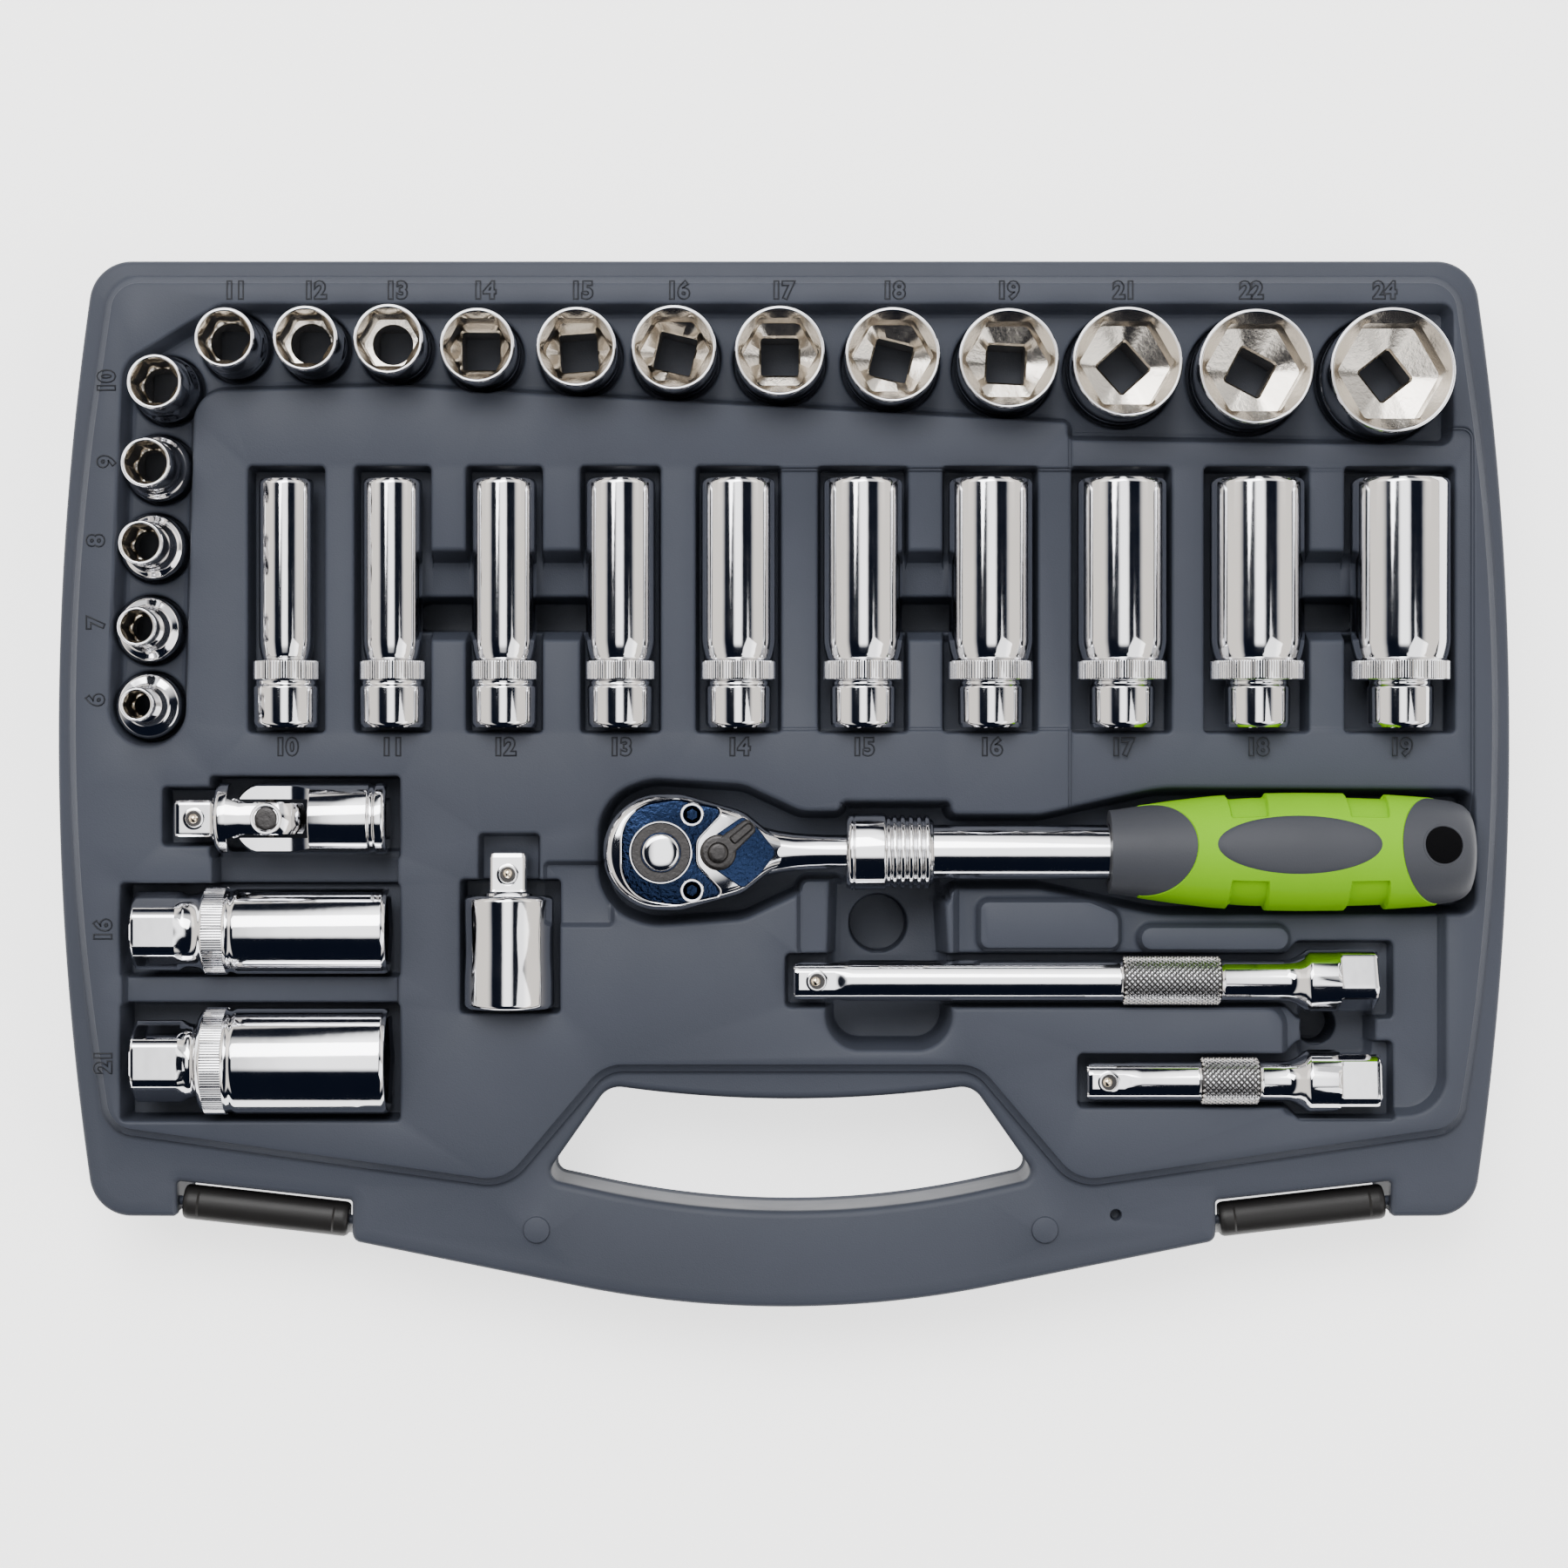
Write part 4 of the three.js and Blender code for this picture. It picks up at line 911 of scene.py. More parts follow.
def build_base():
    top_z = 29.95
    corners = case_outline()
    outline, hole = filleted(corners), filleted(GRIP_HOLE)
    panel = [(-150, -66, 10), (150, -66, 10), (160, 112, 14), (-160, 112, 14)]
    under = [Recess(panel, 1.6, 1.6, lip=1.0, draft=1.2, foot=0.6)]
    under += [Recess(box_outline(x - 1.6, x + 1.6, -60, 106, 1.5), 0.35, 1.25, lip=0.5, draft=0.3, foot=0.4) for x in range(-120, 121, 40)]
    under += [Recess(box_outline(-152, 152, y - 1.6, y + 1.6, 1.5), 0.35, 1.25, lip=0.5, draft=0.3, foot=0.4) for y in (-20, 30, 80)]
    feet = [(x, y) for x in (-165, 165) for y in (-82, 118)]
    under += [Recess(disc_outline(x, y, 6.5), 0.05, 0.5, lip=0.2, draft=0.3, foot=0.2) for x, y in feet]
    contours = [filleted(corners, -s) for s in (1.0, 2.2, 2.45)] + [filleted(GRIP_HOLE, s) for s in (1.0, 2.2, 2.45)]
    for recess in under:
        contours += recess.contours()
    xy, faces = triangulate(outline, [hole], contours)
    inward = np.minimum(-distance_to(outline, xy), distance_to(hole, xy))
    edge = np.interp(inward, [0, 1.0, 2.2], [1.3, 0.35, 0.2])
    low = sculpt(xy, edge, under)
    high = np.interp(inward, [2.2, 2.45], [top_z, 4.2])
    wall = [(0.05, -0.0), (0.12, 0.0), (0.17, 0.35), (0.9, 0.55), (0.96, 0.7)]
    stock = Stock().add(*two_sided(xy, faces, high, low, wall))
    for side in (-1, 1):
        stock.join(latch_pins(side))
    for x in (-120, 0, 120):
        knuckle = Stock().add(*stack([(-15, 1.9), (-14.7, 2.2), (-5.2, 2.2), (-5, 2.0), (-4.8, 2.2), (4.8, 2.2), (5, 2.0), (5.2, 2.2), (14.7, 2.2), (15, 1.9)], n=32))
        stock.join(knuckle.placed(TOWARDS_X, (x, HALF_DEPTH - 2.2, 25)))
    finish_piece("base_moulding", stock, ["case"], "case", ["case_base"], sharp=38)


# ------------------------------------------------------------------ latches
def build_latch(side):
    """A swing latch: a barrel on two pins, a ribbed plate hanging from it and the lip a finger pulls."""
    v, z, half, r = PIVOT_V, PIVOT_Z, LATCH_HALF, BARREL
    turns = np.radians(np.arange(-30, 181, 15))
    back = [(-v + r * math.cos(t), z + r * math.sin(t), 0) for t in turns]
    face = [(-v - r, z - 6, 1), (-v - r - 0.5, 12, 4), (-v - r - 1.7, 5.2, 1), (-v - r - 1.8, 1.6, 0.8), (-v - r + 0.9, 1.6, 0.8),
            (-v - r + 1.3, 5.0, 1), (-v - 1.5, 12, 3), (-v - 1.5, z - 5.2, 2)]
    outline = filleted(back + face, step=0.4)
    middle = np.array([-v, z])
    rings = []
    ends = [(-half, 0.8), (-half + 0.25, 0.4), (-half + 0.9, 0.05), (-half + 1.6, 0.0), (-half + 3.6, 0.0), (-half + 4.2, -0.55), (0, -0.75)]
    ends += [(-u, s) for u, s in ends[-2::-1]]
    for u, shrink in ends:
        ring = filleted(back + face, -shrink, step=0.4) if shrink > 0 else outline.copy()
        ring = resampled(ring, 120)
        if shrink < 0:
            high = np.clip((ring[:, 1] - z + 1.0) / 5.6, 0, 1)
            ring[:, 1] += shrink * high
        rings.append(np.column_stack([np.full(len(ring), u), ring]))
    stock = Stock().add(*loft(rings))
    for k in range(5):
        ridge = 17 - 2.3 * k
        y = -v - r - 0.5 * np.clip((19 - ridge) / 7, 0, 1) - 0.35 * np.clip((12 - ridge) / 6, 0, 1)
        rib = [(y + 0.8, ridge - 0.5), (y - 0.35, ridge - 0.35), (y - 0.35, ridge + 0.35), (y + 0.8, ridge + 0.5)]
        stock.add(*bar_between(-half + 5, half - 5, rounded_section(rib[::-1], 0.25)))
    name = "left" if side < 0 else "right"
    finish_piece(f"latch_{name}_moulding", at_latch(stock, side), ["latch"], f"{name}_latch", [f"latch_{name}"])


# ------------------------------------------------------------------ numbers
def build_numbers():
    """Size numbers moulded as raised outlines beside each pocket."""
    height = bpy.context.scene.socket_case.number_height * 1000
    deck = bpy.context.scene.socket_case.deck_height * 1000
    places = []
    for size in SHORT_SIZES:
        x, y, _ = mid(f"short_socket_{size}")
        if size <= 10:
            places.append((size, -174.6 if size > 8 else -177.4, y + 1.5, 90))
        else:
            places.append((size, x + (0.6 if size < 24 else 0.3), 127.2, 0))
    for size in DEEP_SIZES:
        places.append((size, mid(f"deep_socket_{size}")[0], 9.4, 0))
    places += [(size, -175.5, mid(f"spark_plug_socket_{size}")[1], 90) for size in (16, 21)]
    stock = Stock()
    for size, x, y, turn in places:
        curve = bpy.data.curves.new("number", "FONT")
        curve.body = str(size)
        curve.size = height * 1.36
        curve.align_x, curve.align_y = "CENTER", "CENTER"
        curve.fill_mode = "NONE"
        curve.bevel_depth = 0.2
        curve.bevel_resolution = 1
        curve.resolution_u = 3
        curve.offset = 0.28
        text = bpy.data.objects.new("number", curve)
        mesh = bpy.data.meshes.new_from_object(text)
        co = np.zeros(len(mesh.vertices) * 3)
        mesh.vertices.foreach_get("co", co)
        part = Stock()
        part.points, part.count = [co.reshape(-1, 3)], len(co) // 3
        part.faces = [tuple(p.vertices) for p in mesh.polygons]
        part.looks = [0] * len(part.faces)
        stock.join(part.placed(turned_z(turn), (x, y, deck + 0.02)))
        bpy.data.objects.remove(text)
        bpy.data.curves.remove(curve)
        bpy.data.meshes.remove(mesh)
    finish_piece("size_numbers", stock, ["number"], "case", [], sharp=60)


# ------------------------------------------------------------------ sockets
SQUARE = 9.53  # three-eighths inch across the drive
HOLE_TURN = {14: 0, 15: 4, 16: -13, 17: 0, 18: -14, 19: -3, 21: 42, 22: -28, 24: 38}


def bore_rows(size, length, hex_depth, mouth, square_turn=0.0, square_side=SQUARE):
    """Inside of a socket from its hexagon's mouth down to its drive square."""
    apothem, corner = size / 2 + 0.05, size / 2 / math.cos(math.pi / 6)
    half = square_side / 2 + 0.08
    neck = min(size / 2 - 0.4, half + 0.15) if size < 14 else half * 1.36
    top = length
    rows = [
        (top - 0.02, mouth),
        (top - 0.2, mouth - 0.22),
        (top - 1.9, corner - 0.1, 6, apothem + 0.05, 30),
        (top - 2.4, corner - 0.12, 6, apothem, 30),
        (top - hex_depth + 0.4, corner - 0.12, 6, apothem, 30),
        (top - hex_depth, corner - 0.3, 6, apothem - 0.1, 30),
    ]
    if size < 14:
        rows += [(top - hex_depth - 0.15, neck + 0.25), (top - hex_depth - 0.6, neck), (11.6, neck)]
        rows += [(11.2, min(neck, half * 1.3), 4, min(neck, half), square_turn)]
        rows += [(1.0, half * 1.36, 4, half, square_turn)]
    else:
        rows += [(top - hex_depth - 1.4, half * 1.36 + 0.5, 4, half + 0.5, square_turn)]
        rows += [(top - hex_depth - 2.0, half * 1.36, 4, half, square_turn), (1.0, half * 1.36, 4, half, square_turn)]
    rows.append((0.05, half * 1.36 + 0.6, 4, half + 0.6, square_turn))
    return rows


def outside_rows(corners):
    return [(h, r) for h, r in rounded_profile(corners)]


def short_socket(size):
    low, high = span(f"short_socket_{size}")
    x, y = (low[:2] + high[:2]) / 2
    body = (1.28 * size + 1.3) / 2
    drive, length = 8.5, 28.0
    if body < drive - 0.1:
        corners = [(0, drive - 1.2, 0), (0.0, drive - 0.6, 0), (0.7, drive, 0.8), (10.6, drive, 0.6), (11.6, drive - 0.5, 0.6),
                   (12.4, body + 0.5, 1.0), (14.5, body, 1.6), (length - 0.6, body, 0.4), (length, body - 0.4, 0.25), (length, body - 0.7, 0)]
    else:
        corners = [(0, body - 1.6, 0), (0.0, body - 0.8, 0), (0.9, body - 0.1, 0.8), (9.6, body - 0.1, 0.4), (10.2, body - 0.7, 0.4),
                   (11.0, body - 0.7, 0.4), (11.6, body, 0.4), (length - 0.6, body, 0.4), (length, body - 0.4, 0.25), (length, body - 0.7, 0)]
    rows = outside_rows(corners)
    outer_count = len(rows) + 1
    hex_depth = 12.0 if size < 14 else 11.0
    rows += bore_rows(size, length, hex_depth, body - 0.75, HOLE_TURN.get(size, 0))
    points, faces = stack(rows, closed=True)
    stock = Stock().add(points, faces)
    inside_from, inside_to = outer_count * AROUND, (len(rows) - 2) * AROUND
    stock.looks = [1 if inside_from <= min(f) < inside_to and len(f) == 4 else 0 for f in faces]
    stock.placed(UPRIGHT, (x, y, low[2]))
    finish_piece(f"short_{size}_chromed", stock, ["chrome", "satin"], f"short_{size:02d}", [f"short_socket_{size}"])


def deep_socket(size):
    low, high = span(f"deep_socket_{size}")
    axis = (low + high) / 2
    ring = (high[0] - low[0]) / 2
    body, drive, length = (1.28 * size + 1.3) / 2, 8.5, 64.0
    neck = min(body, ring - 0.3)
    corners = [
        (0, drive - 1.8, 0), (0, drive - 0.8, 0), (0.9, drive - 0.1, 0.9), (10.4, drive, 0.5), (11.0, drive - 0.5, 0.4), (11.9, drive - 0.5, 0.3), (12.1, ring - 0.5, 0.2), (12.5, ring - 0.3, 0.2),
        (16.9, ring - 0.3, 0.2), (17.3, ring - 0.55, 0.2), (17.6, neck - 0.8, 0.3), (18.6, neck - 0.5, 0.8), (21.5, body, 2.0), (length - 1.0, body, 0.9),
        (length - 0.1, body - 0.5, 0.5), (length, body - 0.85, 0),
    ]
    rows = outside_rows(corners) + bore_rows(size, length, 46.0, body - 0.95, 45)
    stock = Stock().add(*stack(rows, closed=True))
    stock.join(rib_band(ring - 0.34, 12.4, 17.0))
    stock.placed(TOWARDS_Y, (axis[0], low[1], axis[2]))
    finish_piece(f"deep_{size}_chromed", stock, ["chrome"], f"deep_{size}", [f"deep_socket_{size}"])


def spark_socket(size):
    node = f"spark_plug_socket_{size}"
    low, high = span(node)
    axis = (low + high) / 2
    ring = (high[1] - low[1]) / 2
    body, length = ring - 0.3, high[0] - low[0]
    flats = 9.6
    less = 0.2 if size == 16 else 0.0
    head = [(h - 4 * less * (h > 3), wide - 2 * less, 6, flat - less, 0) for h, wide, flat in (
        (0.0, 9.4, 9.1), (0.35, 10.2, 9.45), (0.8, 10.6, flats), (1.2, 10.6, flats), (12.0, 10.6, flats), (12.4, 10.6, flats), (13.8, 9.9, 10.2))]
    head.append((14.6 - 4 * less, 9.6 - less))
    tail = outside_rows([
        (head[-1][0], head[-1][1], 0), (16.0, 9.6, 1.0), (17.2, ring - 1.4, 0.8), (18.3, ring - 0.5, 0.3), (18.7, ring - 0.3, 0.2), (23.8, ring - 0.3, 0.2),
        (24.2, ring - 0.6, 0.2), (24.6, body - 0.5, 0.3), (25.4, body - 0.4, 0.3), (26.4, body, 0.7), (length - 1.0, body, 0.9), (length - 0.1, body - 0.5, 0.5),
        (length, body - 0.9, 0),
    ])
    apothem, corner = size / 2 + 0.1, size / 2 / math.cos(math.pi / 6)
    half = SQUARE / 2 + 0.08
    bore = [
        (length - 0.1, corner + 0.5, 6, apothem + 0.9, 30), (length - 1.0, corner, 6, apothem, 30), (48.6, corner, 6, apothem, 30),
        (48.0, size / 2 - 0.5), (24.0, size / 2 - 0.5), (23.6, half + 0.2), (12.0, half + 0.2), (11.6, half * 1.36, 4, half, 45),
        (0.9, half * 1.36, 4, half, 45), (0.05, half * 1.36 + 0.5, 4, half + 0.5, 45),
    ]
    stock = Stock().add(*stack(head[:-1] + tail + bore, closed=True, n=120))
    stock.join(rib_band(ring - 0.34, 18.6, 23.9))
    stock.placed(TOWARDS_X, (low[0], axis[1], axis[2]))
    finish_piece(f"spark_{size}_chromed", stock, ["chrome"], f"spark_socket_{size}", [node])
    sleeve_low, sleeve_high = span(f"{node}_insert")
    outer = (sleeve_high[1] - sleeve_low[1]) / 2
    depth = sleeve_high[0] - sleeve_low[0]
    rows = outside_rows([(0, outer - 2.2, 0), (0, outer - 0.5, 0.2), (0.5, outer, 0.3), (depth - 0.5, outer, 0.3), (depth, outer - 0.6, 0.2), (depth, outer - 1.6, 0)])
    rows += [(depth - 0.8, outer - 2.2), (depth - 3, outer - 2.5), (depth - 6, outer - 2.1), (3, outer - 2.2), (0.5, outer - 2.3)]
    sleeve = Stock().add(*stack(rows, closed=True, n=64)).placed(TOWARDS_X, (sleeve_low[0], axis[1], axis[2]))
    finish_piece(f"spark_{size}_sleeve", sleeve, ["insert"], f"spark_socket_{size}", [f"{node}_insert"])


# ------------------------------------------------------------------ drive squares
def tang_rows(start, end, half=4.75, blend=2.5, root=None):
    """A male drive square from its shoulder to its chamfered end."""
    root = root or half * 1.42
    return [
        (start, root, 4, root + 0.3, 0), (start + blend * 0.35, root, 4, half + 0.8, 0), (start + blend * 0.7, half * 1.33, 4, half + 0.2, 0),
        (start + blend, half * 1.3, 4, half, 0),
        (start + blend + 0.3, half * 1.3, 4, half, 0), (end - 1.6, half * 1.3, 4, half, 0), (end - 1.3, half * 1.3, 4, half, 0), (end - 0.4, half * 1.24, 4, half - 0.3, 0), (end, half * 1.12, 4, half - 0.9, 0),
    ]


def ball_collar(height, half=4.75):
    """The swaged rim round a detent ball's hole, on the tang's +X face, with the hole as a flat disc in the piece's
    second finish; where that is the dark steel, the disc is painted shade for the hole.
    """
    rim = Stock().add(*stack([(-0.3, 2.9), (0.02, 2.9), (0.14, 2.65), (0.16, 2.1), (-0.02, 1.95), (-0.3, 1.95)], closed=True, n=40), 0)
    # the hole is a near-flush disc round the ball; with the dark steel it is painted shade in the gap, not a part of
    # its own
    hole = Stock().add(*stack([(-0.3, 1.95), (0.03, 1.95)], n=40), 1)
    return rim.join(hole).placed(TOWARDS_X, (half, 0, height))


def build_ball(node, body, piece):
    low, high = span(node)
    centre = (low + high) / 2
    stock = Stock().add(*dome(1.5, low=-0.999, rings=14))
    stock.placed(UPRIGHT, centre)
    finish_piece(piece, stock, ["ball"], body, [node])


# ------------------------------------------------------------------ extension bars
def build_bar(node, body, radius, knurl, tang, flat_turn):
    low, high = span(node)
    length = high[0] - low[0]
    y, z = (low[1] + high[1]) / 2, (low[2] + high[2]) / 2
    back = lambda x: high[0] - x
    shoulder = length - tang
    head = 8.05
    half = SQUARE / 2 + 0.1
    wide, flat = 8.15, 6.7
    flats = [(h, wide - cut, 4, flat - cut, flat_turn) for h, cut in ((0.0, 1.1), (0.3, 0.6), (0.8, 0.15), (1.3, 0.0), (1.7, 0.0))]
    flats += [(h, wide, 4, flat, flat_turn) for h in (back(143.6), back(143.3))]
    outside = flats + [(back(142.9), wide, 4, 7.3, flat_turn)]
    outside += outside_rows([
        (back(142.0), head, 0), (back(135.2), head, 0.5), (back(134.2), head - 0.5, 0.5), (back(131.0), radius, 3.5), (back(knurl[1]) - 0.6, radius, 0.3), (back(knurl[1]), radius + 0.3, 0.2),
        (back(knurl[0]), radius + 0.3, 0.2), (back(knurl[0]) + 0.6, radius, 0.3), (shoulder - 4.0, radius, 0),
    ])
    outside += [(h, min(r, radius + 0.02), s, a, t) for h, r, s, a, t in tang_rows(shoulder - 3.6, length, 4.75, 4.2, root=radius + 0.05)]
    top = outside[-1][0]
    shell = [(h, *rest) for h, *rest in outside]
    inside = [(11.6, 0.05), (11.5, half * 1.36, 4, half, flat_turn), (0.9, half * 1.36, 4, half, flat_turn), (0.1, half * 1.36 + 0.5, 4, half + 0.5, flat_turn)]
    rows = shell + [(top, 0.05)]
    points, faces = stack(rows + inside, closed=True)
    stock = Stock().add(points, faces)
    # the bar's surface under the knurl diamonds takes the dark steel: painted shade in the valleys between the diamonds
    under = [back(k) for k in knurl[::-1]]
    stock.looks = [1 if all(under[0] - 0.05 < points[i][2] < under[1] + 0.05 for i in f) else 0 for f in faces]
    points_of = knurl_band(radius + 0.36, back(knurl[1]), back(knurl[0]))
    points_of.looks = [2] * len(points_of.faces)
    stock.join(points_of)
    stock.join(ball_collar(shoulder + (tang - 1) / 2 + 0.2))
    stock.placed(TOWARDS_MINUS_X, (high[0], y, z))
    finish_piece(f"{node}_chromed", stock, ["chrome", "dark", "knurl"], body, [node])


# ------------------------------------------------------------------ adaptor
def build_adaptor():
    low, high = span("adaptor_body")
    x, z = (low[0] + high[0]) / 2, (low[2] + high[2]) / 2
    length = high[1] - low[1]
    shoulder = length - 11.2
    body = (high[0] - low[0]) / 2
    neck = body - 0.9
    half = 12.7 / 2 + 0.1
    rows = outside_rows([
        (0, body - 1.6, 0), (0, body - 0.8, 0.3), (0.8, body, 0.6), (8.0, body, 3.0), (13.0, body - 0.25, 3.0), (18.0, body - 0.25, 3.0), (23.0, body - 0.1, 3.0), (shoulder - 0.9, body - 0.1, 0.8), (shoulder, body - 1.1, 0.4),
        (shoulder, 7.2, 0),
    ])
    rows += tang_rows(shoulder + 0.05, length, 4.75, 1.4, root=6.9)
    rows += [(length, 0.05), (14.4, 0.05), (14.3, half * 1.36, 4, half, 0), (0.9, half * 1.36, 4, half, 0), (0.1, half * 1.36 + 0.6, 4, half + 0.6, 0)]
    stock = Stock().add(*stack(rows, closed=True, n=120))
    stock.join(ball_collar(shoulder + 5.4))
    stock.placed(turned_z(-90), (0, 0, 0))
    stock.placed(TOWARDS_Y, (x, low[1], z))
    finish_piece("adaptor_chromed", stock, ["chrome", "dark"], "adaptor", ["adaptor_body"])


# ------------------------------------------------------------------ universal joint
def fork(radius, swing, slot, back, floor):
    """A yoke's two ears about the joint's centre: cut from a round bar, opening towards +Z of the bar."""
    n, levels, rings = 24, 14, []
    stock = Stock()
    for side in (-1, 1):
        rings = []
        for k in range(levels + 1):
            tip = math.sqrt(swing**2 - (slot + 0.2) ** 2)
            h = floor + (tip - floor) * math.sin(k / levels * math.pi / 2) if k else back
            reach = min(radius, math.sqrt(max(swing**2 - max(h, 0.0) ** 2, 0.01))) if h > 0 else radius
            half_width = min(float(np.interp(h, [-10.6, -8.2], [5.3, 3.9])), math.sqrt(reach**2 - (slot + 0.05) ** 2))
            outer = math.sqrt(max(reach**2 - half_width**2, 0.0))
            ys = np.linspace(-half_width, half_width, n)
            arc = [(yy, math.sqrt(max(reach**2 - yy**2, 0.0))) for yy in ys]
            arc = [(yy, max(zz, slot + 0.02)) for yy, zz in arc]
            flat = [(yy, slot) for yy in ys[::-1]]
            ring = [(yy, zz * side, h) for yy, zz in arc + flat]
            rings.append(ring if side > 0 else ring)
        stock.add(*loft(rings))
    return stock


EAR_ROLL = ((0, 0, 1), (1, 0, 0), (0, 1, 0))  # bar's +Z to X, ears above and below
EAR_YAW = ((0, 0, 1), (0, 1, 0), (-1, 0, 0))


def build_universal():
    centre = mid("universal_large_pin")
    radius, slot, swing = 9.2, 5.0, 9.9
    # driver yoke: round bar, square tang towards -X, ears above and below
    bar = outside_rows([(-10.0, 0.05, 0), (-10.3, radius, 0.4), (-12.9, radius, 0.6), (-13.8, radius - 1.0, 0.4), (-13.8, 7.0, 0)])
    tang = [(-h, *rest) for h, *rest in tang_rows(13.85, 24.4, 4.75, 1.2, root=6.8)]
    stock = Stock().add(*stack([(h, r) for h, r in bar] + tang))
    stock.join(ball_collar(-19.2).placed(UPRIGHT, (0, 0, 0)))
    # the ball faces up: the tang's +X side becomes +Z
    stock.placed(((0, 0, 1), (0, -1, 0), (1, 0, 0)), (0, 0, 0))
    ears = fork(radius, swing, slot, -10.6, -9.0)
    ears.placed(((0, 0, 1), (1, 0, 0), (0, 1, 0)), (0, 0, 0))
    stock.join(ears)
    stock.placed(UPRIGHT, centre)
    finish_piece("universal_driver_chromed", stock, ["chrome", "dark"], "universal_driver", ["universal_driver_yoke"])
    # socket yoke: ears in front and behind, bored bar towards +X
    half = SQUARE / 2 + 0.1
    rows = outside_rows([
        (10.4, 0.05, 0), (10.5, radius, 0.3), (25.6, radius, 0.3), (26.0, radius - 0.5, 0.3), (27.0, radius - 0.5, 0.3), (27.4, radius, 0.3), (29.5, radius, 0.5), (30.2, radius - 0.7, 0.3),
        (30.2, 7.6, 0),
    ])
    rows += [(30.1, half * 1.36 + 0.5, 4, half + 0.5, 0), (29.2, half * 1.36, 4, half, 0), (19.6, half * 1.36, 4, half, 0), (19.5, 0.05)]
    yoke = Stock().add(*stack(rows, closed=True))
    yoke.placed(TOWARDS_X, (0, 0, 0))
    ears = fork(radius, swing, slot, 10.9 * -1, -9.3)
    ears.placed(((0, 0, -1), (0, 1, 0), (1, 0, 0)), (0, 0, 0))
    yoke.join(ears)
    yoke.placed(UPRIGHT, centre)
    finish_piece("universal_socket_chromed", yoke, ["chrome"], "universal_socket", ["universal_socket_yoke"])
    block = [(-4.3, 4.2, 4, 3.6, 0), (-3.7, 5.6, 4, 4.25, 0), (3.7, 5.6, 4, 4.25, 0), (4.3, 4.2, 4, 3.6, 0)]
    cross = Stock().add(*stack(block)).placed(UPRIGHT, centre)
    finish_piece("universal_block_steel", cross, ["chrome"], "universal_cross", ["universal_cross_block"])
    pin = outside_rows([(-8.9, 0.05, 0), (-8.9, 3.0, 0.3), (-8.5, 3.6, 0.3), (-7.6, 3.7, 0.3), (-7.4, 2.7, 0), (7.4, 2.7, 0), (7.6, 3.0, 0.3), (9.1, 3.0, 0.2), (9.4, 2.7, 0.3), (9.45, 2.0, 0.1), (9.45, 0.05, 0)])
    large = Stock().add(*stack(pin, n=48)).placed(UPRIGHT, centre)
    ring = Stock().add(*stack([(7.9, 4.1), (9.25, 4.1), (9.45, 3.85), (9.45, 3.4), (9.25, 3.15), (7.9, 3.15)], closed=True, n=48)).placed(UPRIGHT, centre)
    finish_piece("universal_pin_upright", large, ["dark"], "universal_cross", ["universal_large_pin"])
    finish_piece("universal_pin_collar", ring, ["chrome"], "universal_driver", [])
    small = Stock().add(*stack(outside_rows([(-8.95, 0.05, 0), (-8.95, 1.1, 0.2), (-8.6, 1.4, 0.2), (8.6, 1.4, 0.2), (8.95, 1.1, 0.2), (8.95, 0.05, 0)]), n=32))
    small.placed(TOWARDS_Y, centre)
    finish_piece("universal_pin_level", small, ["dark"], "universal_cross", [])


# ------------------------------------------------------------------ ratchet
def outline_shell(outline_at, rows):
    """A shell over an outline: rows of (height, grow), from bottom to top."""
    rings = []
    for height, grow in rows:
        ring = resampled(outline_at(grow), 160)
        rings.append(np.column_stack([ring, np.full(len(ring), height)]))
    return loft(rings)


def resampled(loop, count):
    """The same closed loop with evenly spaced points."""
    ends = np.vstack([loop, loop[:1]])
    run = np.concatenate([[0], np.cumsum(np.linalg.norm(np.diff(ends, axis=0), axis=1))])
    at = np.linspace(0, run[-1], count, endpoint=False)
    return np.column_stack([np.interp(at, run, ends[:, k]) for k in (0, 1)])


HEAD_OUTLINE = [
    (-14.9, -14.9, 14.6), (5, -15.0, 13), (21, -10.6, 10), (28, -5.0, 9), (35, -3.0, 2), (35, 3.0, 2), (28, 5.0, 9), (21, 10.6, 10), (5, 15.0, 13), (-14.9, 14.9, 14.6),
]
COVER_OUTLINE = [
    (-9.9, -11.4, 9.7), (4, -13.4, 8), (16.2, -10.8, 1.2), (9.0, -3.2, 4), (9.0, 3.2, 4), (16.2, 10.8, 1.2), (4, 13.4, 8), (-9.9, 11.4, 9.7),
]
LEVER_BED = [
    (10.9, -2.4, 2), (21.0, -9.3, 1.5), (25.2, -5.8, 3), (29.6, 0, 2), (25.2, 5.8, 3), (21.0, 9.3, 1.5), (10.9, 2.4, 2),
]


